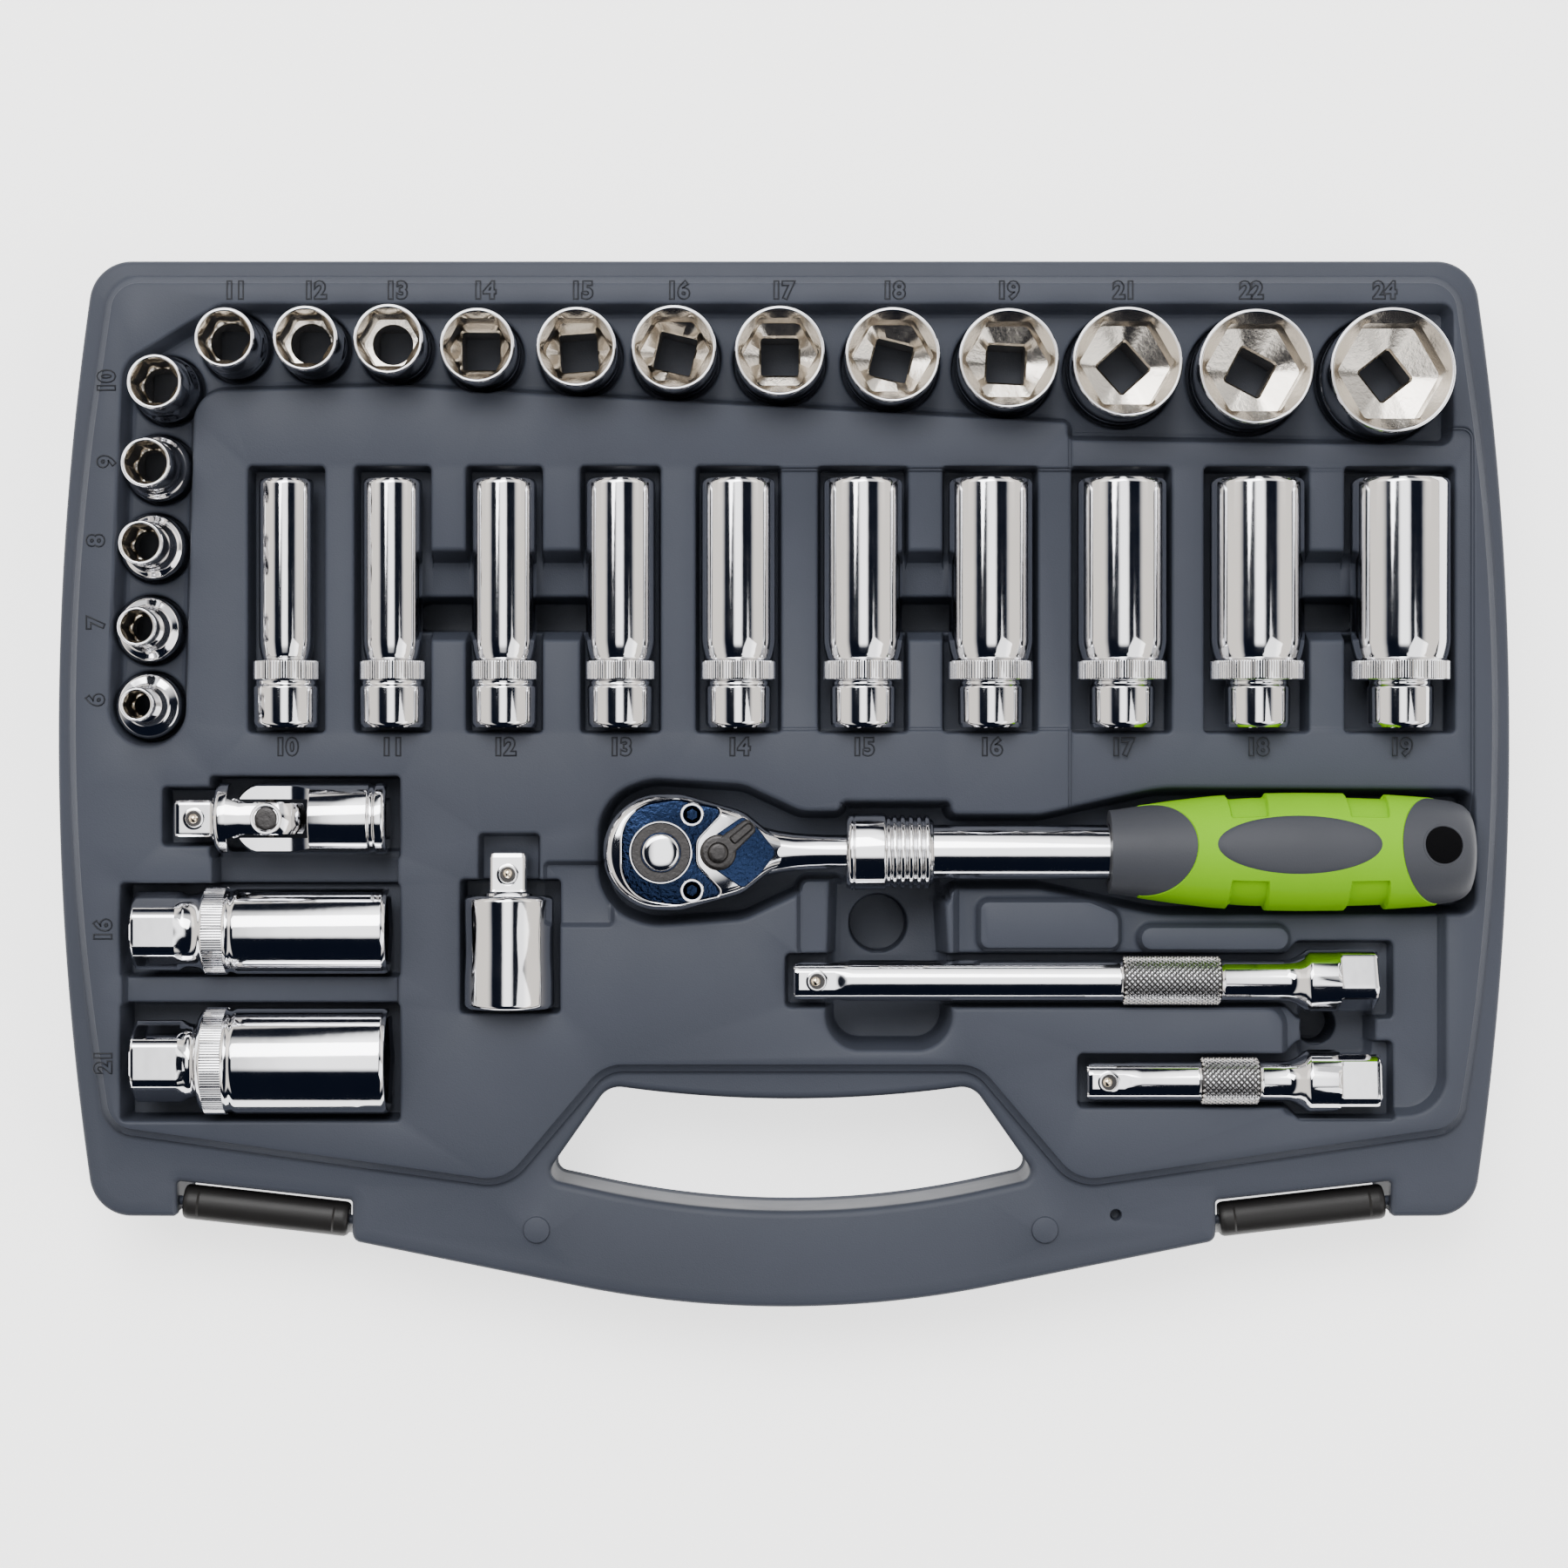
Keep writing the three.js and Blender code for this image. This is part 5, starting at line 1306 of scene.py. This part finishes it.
def build_ratchet():
    x, y = HEAD
    z = mid("ratchet_outer_tube")[2]
    origin = (x, y, z)
    shell = outline_shell(
        lambda g: filleted(HEAD_OUTLINE, g),
        [(-5.5, -2.6), (-5.4, -1.7), (-4.7, -0.6), (-3.6, 0.0), (3.6, 0.0), (4.9, -0.35), (6.0, -1.05), (6.7, -1.9), (7.0, -2.6)],
    )
    outer, skin = shell
    outer[:, 2] *= np.interp(outer[:, 0], [17, 24, 30, 36], [1.0, 0.86, 0.7, 0.52])
    stock = Stock().add(outer, skin)
    # the neck narrows from the head into the round shank
    rings = []
    for along, wide, tall, power in ((18, 9.4, 5.0, 3.2), (22, 8.0, 5.2, 2.8), (26, 6.5, 5.1, 2.5), (30, 5.5, 4.9, 2.3), (34, 4.95, 4.7, 2.1), (38, 4.6, 4.5, 2.05), (43, 4.4, 4.4, 2.0), (60, 4.4, 4.4, 2.0), (118, 4.4, 4.4, 2.0), (164, 4.4, 4.4, 2.0)):
        a = np.arange(64) * 2 * math.pi / 64
        c, s = np.cos(a), np.sin(a)
        rings.append(np.column_stack([np.full(64, along), wide * np.sign(c) * np.abs(c) ** (2 / power), tall * np.sign(s) * np.abs(s) ** (2 / power)]))
    stock.add(*loft(rings))
    # bed under the lever
    bed = outline_shell(lambda g: filleted(LEVER_BED, g), [(6.4, 0.0), (7.05, 0.0), (7.2, -0.25)])
    stock.add(*bed, 1)
    stock.placed(UPRIGHT, origin)
    finish_piece("ratchet_head_chromed", stock, ["chrome", "blue"], "ratchet", ["ratchet_head"])
    cover = Stock().add(*outline_shell(lambda g: filleted(COVER_OUTLINE, g), [(6.2, 0.1), (7.0, 0.1), (7.25, -0.15), (7.3, -0.4)]))
    edge = Stock().add(*outline_shell(lambda g: filleted(COVER_OUTLINE, g), [(6.2, 0.55), (7.2, 0.5), (7.3, 0.35), (7.2, 0.12), (6.2, 0.1)]), 1)
    cover.join(edge).placed(UPRIGHT, origin)
    finish_piece("ratchet_cover_polished", cover, ["blue", "chrome"], "ratchet", ["ratchet_cover_plate"])
    for index, side in ((1, 1), (2, -1)):
        screw = Stock().add(*stack([(5.6, 3.0), (7.35, 3.0), (7.55, 2.8), (7.55, 2.4), (7.35, 2.3), (5.6, 2.3)], closed=True, n=48), 1)
        core = [(5.6, 2.35), (7.2, 2.35), (7.3, 2.2), (7.3, 1.5, 6, 1.25, 0), (6.4, 1.4, 6, 1.15, 0)]
        screw.join(Stock().add(*stack(core, n=48), 0))
        screw.join(Stock().add(*stack([(-1.4, 0.9), (-1.0, 1.2), (5.6, 1.2)], n=24), 0))
        screw.placed(UPRIGHT, (x + 8, y + side * 9.7, z))
        finish_piece(f"ratchet_screw_{index}_dark", screw, ["dark", "chrome"], "ratchet", [f"ratchet_cover_screw_{index}"])
    # drive gear: chrome ring, black dial ring with the button's well, and the square under the head
    ring = Stock().add(*stack([(6.0, 8.05), (7.45, 8.05), (7.62, 7.92), (7.62, 7.7), (7.45, 7.55), (6.0, 7.55)], closed=True), 1)
    dial = Stock().add(*stack([(3.0, 7.5), (7.35, 7.5), (7.5, 7.35), (7.5, 5.3), (7.3, 5.05), (2.4, 5.0), (2.4, 0.05), (1.0, 0.05), (1.0, 7.3)], closed=True), 0)
    journal = Stock().add(*stack(outside_rows([(-3.4, 0.05, 0), (-3.4, 6.3, 0), (-6.1, 6.3, 0.3), (-6.4, 5.9, 0.2)]) + [(-h, *r) for h, *r in tang_rows(6.45, 17.0, 4.75, 1.0, root=6.0)]), 1)
    gear = ring.join(dial).join(journal)
    gear.join(ball_collar(11.1).placed(UPSIDE_DOWN, (0, 0, 0)))
    gear.placed(UPRIGHT, origin)
    finish_piece("ratchet_gear_dial", gear, ["dark", "chrome"], "ratchet_drive", ["ratchet_drive_gear"])
    button = outside_rows([(-4.5, 0.05, 0), (-4.5, 0.9, 0), (5.3, 0.9, 0), (5.3, 4.85, 0.2), (7.6, 4.85, 0.4), (8.05, 4.4, 0.3), (8.25, 3.4, 0.8), (8.36, 2.2, 0.8), (8.42, 1.0, 0.6), (8.43, 0.05, 0)])
    press = Stock().add(*stack(button, n=72)).placed(UPRIGHT, origin)
    finish_piece("ratchet_button_chromed", press, ["chrome"], "release_button", ["ratchet_release_button"])
    lever = Stock().add(*stack(outside_rows([(0.5, 0.05, 0), (0.5, 1.9, 0), (7.3, 1.9, 0), (7.35, 4.6, 0.2), (8.3, 4.6, 0.4), (8.7, 3.9, 0.5), (8.7, 2.6, 0.3), (9.5, 2.4, 0.4), (9.7, 1.6, 0.3), (9.7, 0.05, 0)]), n=64))
    tab = outline_shell(lambda g: filleted([(0, -2.9, 1), (11.4, -2.0, 1.4), (11.4, 2.0, 1.4), (0, 2.9, 1)], g), [(7.35, -0.1), (7.6, 0.0), (8.4, 0.0), (8.75, -0.35)])
    lever.add(*tab)
    crest = outline_shell(lambda g: filleted([(4.6, -1.0, 0.6), (11.0, -0.9, 0.8), (11.0, 0.9, 0.8), (4.6, 1.0, 0.6)], g), [(8.4, 0.3), (9.3, 0.1), (9.75, -0.25)])
    lever.add(*crest)
    lever.placed(turned_z(40), (0, 0, 0)).placed(UPRIGHT, (-16.8, y, z))
    finish_piece("ratchet_lever_dark", lever, ["dark"], "direction_lever", ["ratchet_direction_lever"])


def build_pawl():
    """The toothed block that stops the gear, hidden between the gear and the lever."""
    low, high = span("ratchet_pawl")
    x, y = (low[:2] + high[:2]) / 2
    half_x, half_y = (high[:2] - low[:2]) / 2
    teeth = [(-half_x + 0.1 + 0.7 * (k % 2), half_y - 0.6 - k * (2 * half_y - 1.2) / 10, 0) for k in range(11)]
    back = half_x - 1.4
    corners = [(-half_x + 0.9, -half_y, 0), (back * 0.2, -half_y, 1.0), (back, -half_y * 0.45, 0.8), (back, half_y * 0.45, 0.8),
               (back * 0.2, half_y, 1.0), (-half_x + 0.9, half_y, 0), *teeth]
    rows = [(low[2], -0.3), (low[2] + 0.3, -0.02), (high[2] - 0.3, -0.02), (high[2], -0.3)]
    stock = Stock().add(*outline_shell(lambda g: filleted(corners, g), rows)).placed(UPRIGHT, (x, y, 0))
    finish_piece("ratchet_pawl_dark", stock, ["dark"], "pawl", ["ratchet_pawl"])


def build_handle():
    y, z = mid("ratchet_outer_tube")[1:]
    x0 = COLLAR[0]
    length = COLLAR[1] - COLLAR[0]
    corners = [(0, 5.2, 0), (0, 8.9, 0.3), (0.9, 9.8, 0.5), (1.8, 9.8, 0.2), (2.0, 9.55, 0.1), (2.2, 9.8, 0.2), (9.9, 9.8, 0.3), (10.4, 9.2, 0.2), (11.2, 9.2, 0.2)]
    for k in range(5):
        at = 11.6 + 2.08 * k
        corners += [(at, 8.7, 0.2), (at + 0.3, 9.45, 0.3), (at + 1.3, 9.45, 0.3), (at + 1.65, 8.7, 0.2)]
    corners += [(length - 0.3, 8.3, 0.2), (length, 7.9, 0)]
    rows = outside_rows(corners) + [(length - 0.02, 7.35), (10.8, 7.35), (10.7, 4.8), (0.05, 4.8)]
    collar = Stock().add(*stack(rows, closed=True)).placed(TOWARDS_X, (x0, y, z))
    finish_piece("ratchet_collar_chromed", collar, ["chrome"], "lock_collar", ["ratchet_lock_collar"])
    low, high = span("ratchet_outer_tube")
    reach = high[0] - low[0]
    rows = outside_rows([(0, 6.0, 0), (0, 6.6, 0.2), (0.5, 7.0, 0.3), (reach - 0.5, 7.0, 0.3), (reach, 6.5, 0)])
    rows += [(reach, 5.1), (0.1, 5.1)]
    tube = Stock().add(*stack(rows, closed=True)).placed(TOWARDS_X, (low[0], y, z))
    finish_piece("ratchet_tube_chromed", tube, ["chrome"], "ratchet", ["ratchet_outer_tube"])


GRIP = [
    (0.0, 10.7), (2.0, 10.95), (7.0, 11.7), (16.0, 13.0), (26.0, 14.15), (36.0, 14.8), (48.0, 15.0), (60.0, 14.9), (72.0, 14.55), (82.0, 13.9), (88.0, 13.1), (91.0, 12.0), (92.6, 10.4), (93.2, 8.4),
]


def grip_radius(along):
    """Smooth radius of the grip at a distance from its front end."""
    xs, rs = zip(*GRIP)
    fine = np.linspace(0, 93.2, 260)
    raw = np.interp(fine, xs, rs)
    kernel = np.ones(9) / 9
    smooth = np.convolve(np.pad(raw, 4, mode="edge"), kernel, mode="valid")
    smooth[fine > 88] = raw[fine > 88]
    return np.interp(along, fine, smooth)


def grip_point(along, angle, lift=0.0):
    """Point on the grip: angle 0 is up, measured round towards +Y."""
    r = grip_radius(along) + lift
    return np.stack([along, r * np.sin(angle), r * np.cos(angle)], -1)


def pad_step(along, angle):
    """Shallow sunk pads on both flanks of the sleeve, their ends slanting a little."""
    side = np.where(np.sin(angle) > 0, np.sin(angle) + 0.13, -np.sin(angle))
    flank = np.clip((side - 0.62) / 0.025, 0, 1)
    sunk = np.zeros_like(along)
    for a, b in ((30.2, 39.6), (60.6, 70.4)):
        slant = (side - 0.62) * 3.0
        sunk += np.clip((along - a + slant * 0.3) / 0.3, 0, 1) * np.clip((b + slant * 0.3 - along) / 0.3, 0, 1)
    return -1.15 * flank * np.clip(sunk, 0, 1)


def build_grip():
    low, high = span("ratchet_grip_core")
    y, z = mid("ratchet_outer_tube")[1:]
    n = 192
    angle = np.arange(n) * 2 * math.pi / n
    front = 7.0 + 14.4 * np.sqrt(np.clip(1 - (np.abs(np.sin(angle)) / 0.985) ** 2, 0, 1))
    rear = 84.2 - 10.8 * np.sqrt(np.clip(1 - (np.abs(np.sin(angle)) / 0.995) ** 2, 0, 1))
    core = []
    for share in (0.0, 0.004, 0.02, 0.1, 0.2, 0.3, 0.4, 0.5, 0.6, 0.7, 0.8, 0.9, 0.97, 1.0):
        core.append(grip_point(share * front, angle, -0.6 if share == 0 else 0.0))
    core.append(grip_point(front + 0.12, angle, -0.5))
    core.append(grip_point(front + 0.6, angle, -1.3))
    core.append(grip_point(rear - 0.6, angle, -1.3))
    core.append(grip_point(rear - 0.12, angle, -0.5))
    for share in (0.0, 0.1, 0.25, 0.4, 0.55, 0.7, 0.8, 0.88, 0.94, 0.98, 1.0):
        core.append(grip_point(rear + share * (93.2 - rear), angle))
    end = [grip_point(np.full(n, 93.2), angle, -r) for r in (0.8, 4.0)]
    bore = [np.stack([np.full(n, a), 7.15 * np.sin(angle), 7.15 * np.cos(angle)], -1) for a in (67.0, 1.0)]
    bore.insert(0, np.stack([np.full(n, 67.0), 0.05 * np.sin(angle), 0.05 * np.cos(angle)], -1))
    bore.append(np.stack([np.full(n, 0.02), 7.5 * np.sin(angle), 7.5 * np.cos(angle)], -1))
    end.append(np.stack([np.full(n, 93.2), 0.05 * np.sin(angle), 0.05 * np.cos(angle)], -1))
    stock = Stock().add(*loft(core + end + bore, closed=True))
    # hanging hole: a rim above and below with a near-black cap between, painted shade for the hole
    hole_x = 167.6 - low[0]
    for side in (1, -1):
        rim = []
        t = np.arange(64) * 2 * math.pi / 64
        for radius, lift in ((5.6, -0.25), (5.3, 0.12), (4.95, 0.1), (4.75, -0.4), (4.7, -2.5), (5.7, -2.5)):
            hx, hy = hole_x + radius * np.cos(t), radius * np.sin(t)
            top = np.sqrt(np.maximum(grip_radius(hx) ** 2 - hy**2, 1.0))
            rim.append(np.stack([hx, hy, (top + lift) * side], -1))
        stock.add(*loft(rim, closed=True))
        well = []
        for radius, lift in ((0.05, 0.2), (1.5, 0.2), (3.0, 0.2), (4.2, 0.2), (4.78, 0.12), (4.78, -1.5), (0.05, -1.5)):
            hx, hy = hole_x + radius * np.cos(t), radius * np.sin(t)
            top = np.sqrt(np.maximum(grip_radius(hx) ** 2 - hy**2, 1.0))
            well.append(np.stack([hx, hy, (top + lift) * side], -1))
        stock.add(*loft(well), 1)
    # oval inlay above and below
    for side in (1, -1):
        t = np.arange(96) * 2 * math.pi / 96
        oval = []
        for share, lift in ((0.02, 0.5), (0.15, 0.5), (0.3, 0.5), (0.45, 0.5), (0.6, 0.5), (0.75, 0.5), (0.88, 0.48), (0.96, 0.36), (1.0, 0.0), (1.0, -1.6), (0.02, -1.6)):
            ox, oy = 47.2 + 21.2 * share * np.cos(t), 7.7 * share * np.sin(t)
            top = np.sqrt(grip_radius(ox) ** 2 - oy**2)
            oval.append(np.stack([ox, oy, (top + lift) * side], -1))
        stock.add(*loft(oval))
    stock.placed(ROLLED, (low[0], y, z))
    finish_piece("ratchet_grip_core_moulded", stock, ["grey", "insert"], "ratchet", ["ratchet_grip_core"])
    sleeve = []
    shares = np.concatenate([[0.0, 0.006, 0.02], np.linspace(0.05, 0.95, 200), [0.98, 0.994, 1.0]])
    for share in shares:
        along = front + share * (rear - front)
        lift = {0.0: -0.25, 1.0: -0.25}.get(float(share), 0.12)
        crown = 0.25 * np.sin(np.pi * share)
        sleeve.append(grip_point(along, angle, lift + crown * 0.4 + pad_step(along, angle)))
    sleeve += [grip_point(rear - 0.4, angle, -1.2), grip_point(front + 0.4, angle, -1.2)]
    wrap = Stock().add(*loft(sleeve, closed=True)).placed(ROLLED, (low[0], y, z))
    finish_piece("ratchet_grip_sleeve_soft", wrap, ["green"], "ratchet", ["ratchet_grip_sleeve"], sharp=40)


# ------------------------------------------------------------------ studio
def build_world():
    """Studio surroundings: dark room, a broad light band high on the hinge side and low panels left and right."""
    world = bpy.data.worlds.new("studio")
    bpy.context.scene.world = world
    world.use_nodes = True
    tree = world.node_tree
    tree.nodes.clear()
    coords = tree.nodes.new("ShaderNodeTexCoord")
    split = tree.nodes.new("ShaderNodeSeparateXYZ")
    link(tree, coords, "Generated", split, "Vector")

    def calc(operation, a, b=None):
        return compute(tree, operation, a, b)

    def band(value, low, high, soft):
        up = tree.nodes.new("ShaderNodeMapRange")
        up.interpolation_type = "SMOOTHSTEP"
        up.inputs["From Min"].default_value = low - soft
        up.inputs["From Max"].default_value = low + soft
        tree.links.new(value, up.inputs["Value"])
        down = tree.nodes.new("ShaderNodeMapRange")
        down.interpolation_type = "SMOOTHSTEP"
        down.inputs["From Min"].default_value = high - soft
        down.inputs["From Max"].default_value = high + soft
        down.inputs["To Min"].default_value = 1.0
        down.inputs["To Max"].default_value = 0.0
        tree.links.new(value, down.inputs["Value"])
        return calc("MULTIPLY", up.outputs["Result"], down.outputs["Result"])

    x, y, z = split.outputs
    sideways = calc("ARCTAN2", calc("ABSOLUTE", x), z)
    endways = calc("ARCTAN2", y, z)
    overhead = calc("MULTIPLY", band(sideways, -1.0, 0.2, 0.08), band(endways, -0.26, 1.25, 0.1))
    flanks = calc("MULTIPLY", band(sideways, 0.8, 1.75, 0.14), band(endways, -1.2, 1.5, 0.1))
    ahead = calc("MULTIPLY", band(endways, 0.3, 0.95, 0.12), band(sideways, -1.0, 1.1, 0.1))
    glow = calc("ADD", calc("MULTIPLY", overhead, 3.4), calc("MULTIPLY", flanks, 1.55))
    glow = calc("ADD", glow, calc("MULTIPLY", ahead, 1.3))
    glow = calc("ADD", glow, 0.018)
    lit = tree.nodes.new("ShaderNodeBackground")
    warm = ramp(tree, flanks, [(0.0, (1.0, 1.0, 1.0)), (1.0, (1.0, 0.93, 0.84))])
    night = tree.nodes.new("ShaderNodeMix")
    night.data_type = "RGBA"
    night.inputs["A"].default_value = (0.25, 0.42, 1.0, 1.0)
    tree.links.new(calc("MINIMUM", calc("MULTIPLY", glow, 4.0), 1.0), night.inputs["Factor"])
    tree.links.new(warm.outputs["Color"], night.inputs["B"])
    link(tree, night, "Result", lit, "Color")
    tree.links.new(glow, lit.inputs["Strength"])
    plain = tree.nodes.new("ShaderNodeBackground")
    plain.inputs["Color"].default_value = (0.93, 0.93, 0.93, 1)
    plain.inputs["Strength"].default_value = 1.0
    path = tree.nodes.new("ShaderNodeLightPath")
    mix = tree.nodes.new("ShaderNodeMixShader")
    link(tree, path, "Is Camera Ray", mix, "Fac")
    tree.links.new(lit.outputs[0], mix.inputs[1])
    tree.links.new(plain.outputs[0], mix.inputs[2])
    out = tree.nodes.new("ShaderNodeOutputWorld")
    tree.links.new(mix.outputs[0], out.inputs["Surface"])


def add_light(name, place, size, power, colour=(1, 1, 1), aim=(0, 0, 0.02)):
    light = bpy.data.lights.new(name, "AREA")
    light.shape = "RECTANGLE"
    light.size, light.size_y = size
    light.energy = power
    light.color = colour
    lamp = bpy.data.objects.new(name, light)
    bpy.context.scene.collection.objects.link(lamp)
    lamp.location = place
    lamp.rotation_euler = (Vector(aim) - Vector(place)).to_track_quat("-Z", "Y").to_euler()
    return lamp


def build_studio():
    settings = bpy.context.scene.socket_studio
    build_world()
    mat, tree, shader = new_material("studio floor")
    coords = tree.nodes.new("ShaderNodeTexCoord")
    cloud = noise(tree, coords, 3.0)
    tint = ramp(tree, cloud.outputs["Fac"], [(0.3, shade(tuple(settings.floor), 0.99)), (0.7, tuple(settings.floor))])
    link(tree, tint, "Color", shader, "Base Color")
    shader.inputs["Roughness"].default_value = 0.9
    shader.inputs["Emission Color"].default_value = (1.0, 1.0, 1.0, 1.0)
    shader.inputs["Emission Strength"].default_value = 1.6
    mesh = bpy.data.meshes.new("studio_floor")
    s = 6.0
    mesh.from_pydata([(-s, -s, -0.0005), (s, -s, -0.0005), (s, s, -0.0005), (-s, s, -0.0005)], [], [(0, 1, 2, 3)])
    mesh.materials.append(mat)
    floor = bpy.data.objects.new("studio_floor", mesh)
    bpy.context.scene.collection.objects.link(floor)
    add_light("key", (-0.35, 0.75, 1.5), (1.2, 0.8), 26)
    add_light("fill", (0.9, -0.5, 1.2), (1.0, 1.0), 9)
    camera = bpy.data.cameras.new("camera")
    camera.lens = settings.focal_length
    camera.sensor_width = 36.0
    camera.clip_end = 100.0
    eye = bpy.data.objects.new("camera", camera)
    bpy.context.scene.collection.objects.link(eye)
    deck = bpy.context.scene.socket_case.deck_height
    eye.location = (0.0, 0.0, deck + settings.camera_height)
    eye.rotation_euler = (0.0, 0.0, 0.0)
    bpy.context.scene.camera = eye


# ------------------------------------------------------------------ operators
class SOCKETSET_OT_finishes(bpy.types.Operator):
    """Make the plastics, metals and rubbers"""

    bl_idname = "socketset.finishes"
    bl_label = "Finishes"

    def execute(self, context):
        make_finishes()
        return {"FINISHED"}


class SOCKETSET_OT_case(bpy.types.Operator):
    """Mould the tray and the base of the case"""

    bl_idname = "socketset.case"
    bl_label = "Case"

    def execute(self, context):
        build_tray()
        build_base()
        return {"FINISHED"}


class SOCKETSET_OT_latches(bpy.types.Operator):
    """Hang both swing latches"""

    bl_idname = "socketset.latches"
    bl_label = "Latches"

    def execute(self, context):
        build_latch(-1)
        build_latch(1)
        return {"FINISHED"}


class SOCKETSET_OT_numbers(bpy.types.Operator):
    """Raise the size numbers beside the pockets"""

    bl_idname = "socketset.numbers"
    bl_label = "Size numbers"

    def execute(self, context):
        build_numbers()
        return {"FINISHED"}


class SOCKETSET_OT_short_sockets(bpy.types.Operator):
    """Turn the short sockets standing in the trough"""

    bl_idname = "socketset.short_sockets"
    bl_label = "Short sockets"

    def execute(self, context):
        for size in SHORT_SIZES:
            short_socket(size)
        return {"FINISHED"}


class SOCKETSET_OT_deep_sockets(bpy.types.Operator):
    """Turn the deep sockets with their ribbed rings"""

    bl_idname = "socketset.deep_sockets"
    bl_label = "Deep sockets"

    def execute(self, context):
        for size in DEEP_SIZES:
            deep_socket(size)
        return {"FINISHED"}


class SOCKETSET_OT_spark_sockets(bpy.types.Operator):
    """Turn the spark plug sockets and their soft sleeves"""

    bl_idname = "socketset.spark_sockets"
    bl_label = "Spark plug sockets"

    def execute(self, context):
        for size in (16, 21):
            spark_socket(size)
        return {"FINISHED"}


class SOCKETSET_OT_bars(bpy.types.Operator):
    """Turn the extension bars and knurl them"""

    bl_idname = "socketset.bars"
    bl_label = "Extension bars"

    def execute(self, context):
        build_bar("extension_bar_150", "long_bar", 5.3, (87.2, 112.6), 11.4, 24)
        build_bar("extension_bar_75", "short_bar", 5.1, (107.3, 122.5), 10.4, 6)
        return {"FINISHED"}


class SOCKETSET_OT_adaptors(bpy.types.Operator):
    """Make the drive adaptor, the universal joint and every detent ball"""

    bl_idname = "socketset.adaptors"
    bl_label = "Adaptor and universal joint"

    def execute(self, context):
        build_adaptor()
        build_universal()
        build_ball("adaptor_ball", "adaptor_ball", "adaptor_detent")
        build_ball("universal_ball", "universal_ball", "universal_detent")
        build_ball("extension_bar_150_ball", "long_bar_ball", "long_bar_detent")
        build_ball("extension_bar_75_ball", "short_bar_ball", "short_bar_detent")
        build_ball("ratchet_drive_ball", "drive_ball", "ratchet_detent")
        return {"FINISHED"}


class SOCKETSET_OT_ratchet(bpy.types.Operator):
    """Make the ratchet's head, dial, lever, collar and tube"""

    bl_idname = "socketset.ratchet"
    bl_label = "Ratchet"

    def execute(self, context):
        build_ratchet()
        build_pawl()
        build_handle()
        return {"FINISHED"}


class SOCKETSET_OT_grip(bpy.types.Operator):
    """Mould the grip's core and its soft sleeve"""

    bl_idname = "socketset.grip"
    bl_label = "Grip"

    def execute(self, context):
        build_grip()
        return {"FINISHED"}


class SOCKETSET_OT_studio(bpy.types.Operator):
    """Set up the floor, the lights and the camera"""

    bl_idname = "socketset.studio"
    bl_label = "Studio"

    def execute(self, context):
        build_studio()
        return {"FINISHED"}


OPERATORS = [
    SOCKETSET_OT_finishes, SOCKETSET_OT_case, SOCKETSET_OT_latches, SOCKETSET_OT_numbers, SOCKETSET_OT_short_sockets,
    SOCKETSET_OT_deep_sockets, SOCKETSET_OT_spark_sockets, SOCKETSET_OT_bars, SOCKETSET_OT_adaptors, SOCKETSET_OT_ratchet,
    SOCKETSET_OT_grip, SOCKETSET_OT_studio,
]


class SOCKETSET_PT_panel(bpy.types.Panel):
    """Lists the steps that build the set"""

    bl_idname = "SOCKETSET_PT_panel"
    bl_label = "Socket Set"
    bl_space_type = "VIEW_3D"
    bl_region_type = "UI"
    bl_category = "Socket Set"

    def draw(self, context):
        for operator in OPERATORS:
            self.layout.operator(operator.bl_idname)


GROUPS = {"socket_case": CaseSettings, "socket_tools": ToolSettings, "socket_studio": StudioSettings}


def register():
    for cls in (*GROUPS.values(), *OPERATORS, SOCKETSET_PT_panel):
        bpy.utils.register_class(cls)
    for name, cls in GROUPS.items():
        setattr(bpy.types.Scene, name, bpy.props.PointerProperty(type=cls))


def unregister():
    for name in GROUPS:
        delattr(bpy.types.Scene, name)
    for cls in (SOCKETSET_PT_panel, *OPERATORS[::-1], *GROUPS.values()):
        bpy.utils.unregister_class(cls)


def main():
    register()
    for operator in OPERATORS:
        getattr(bpy.ops.socketset, operator.bl_idname.split(".")[1])()


if __name__ == "__main__":
    main()
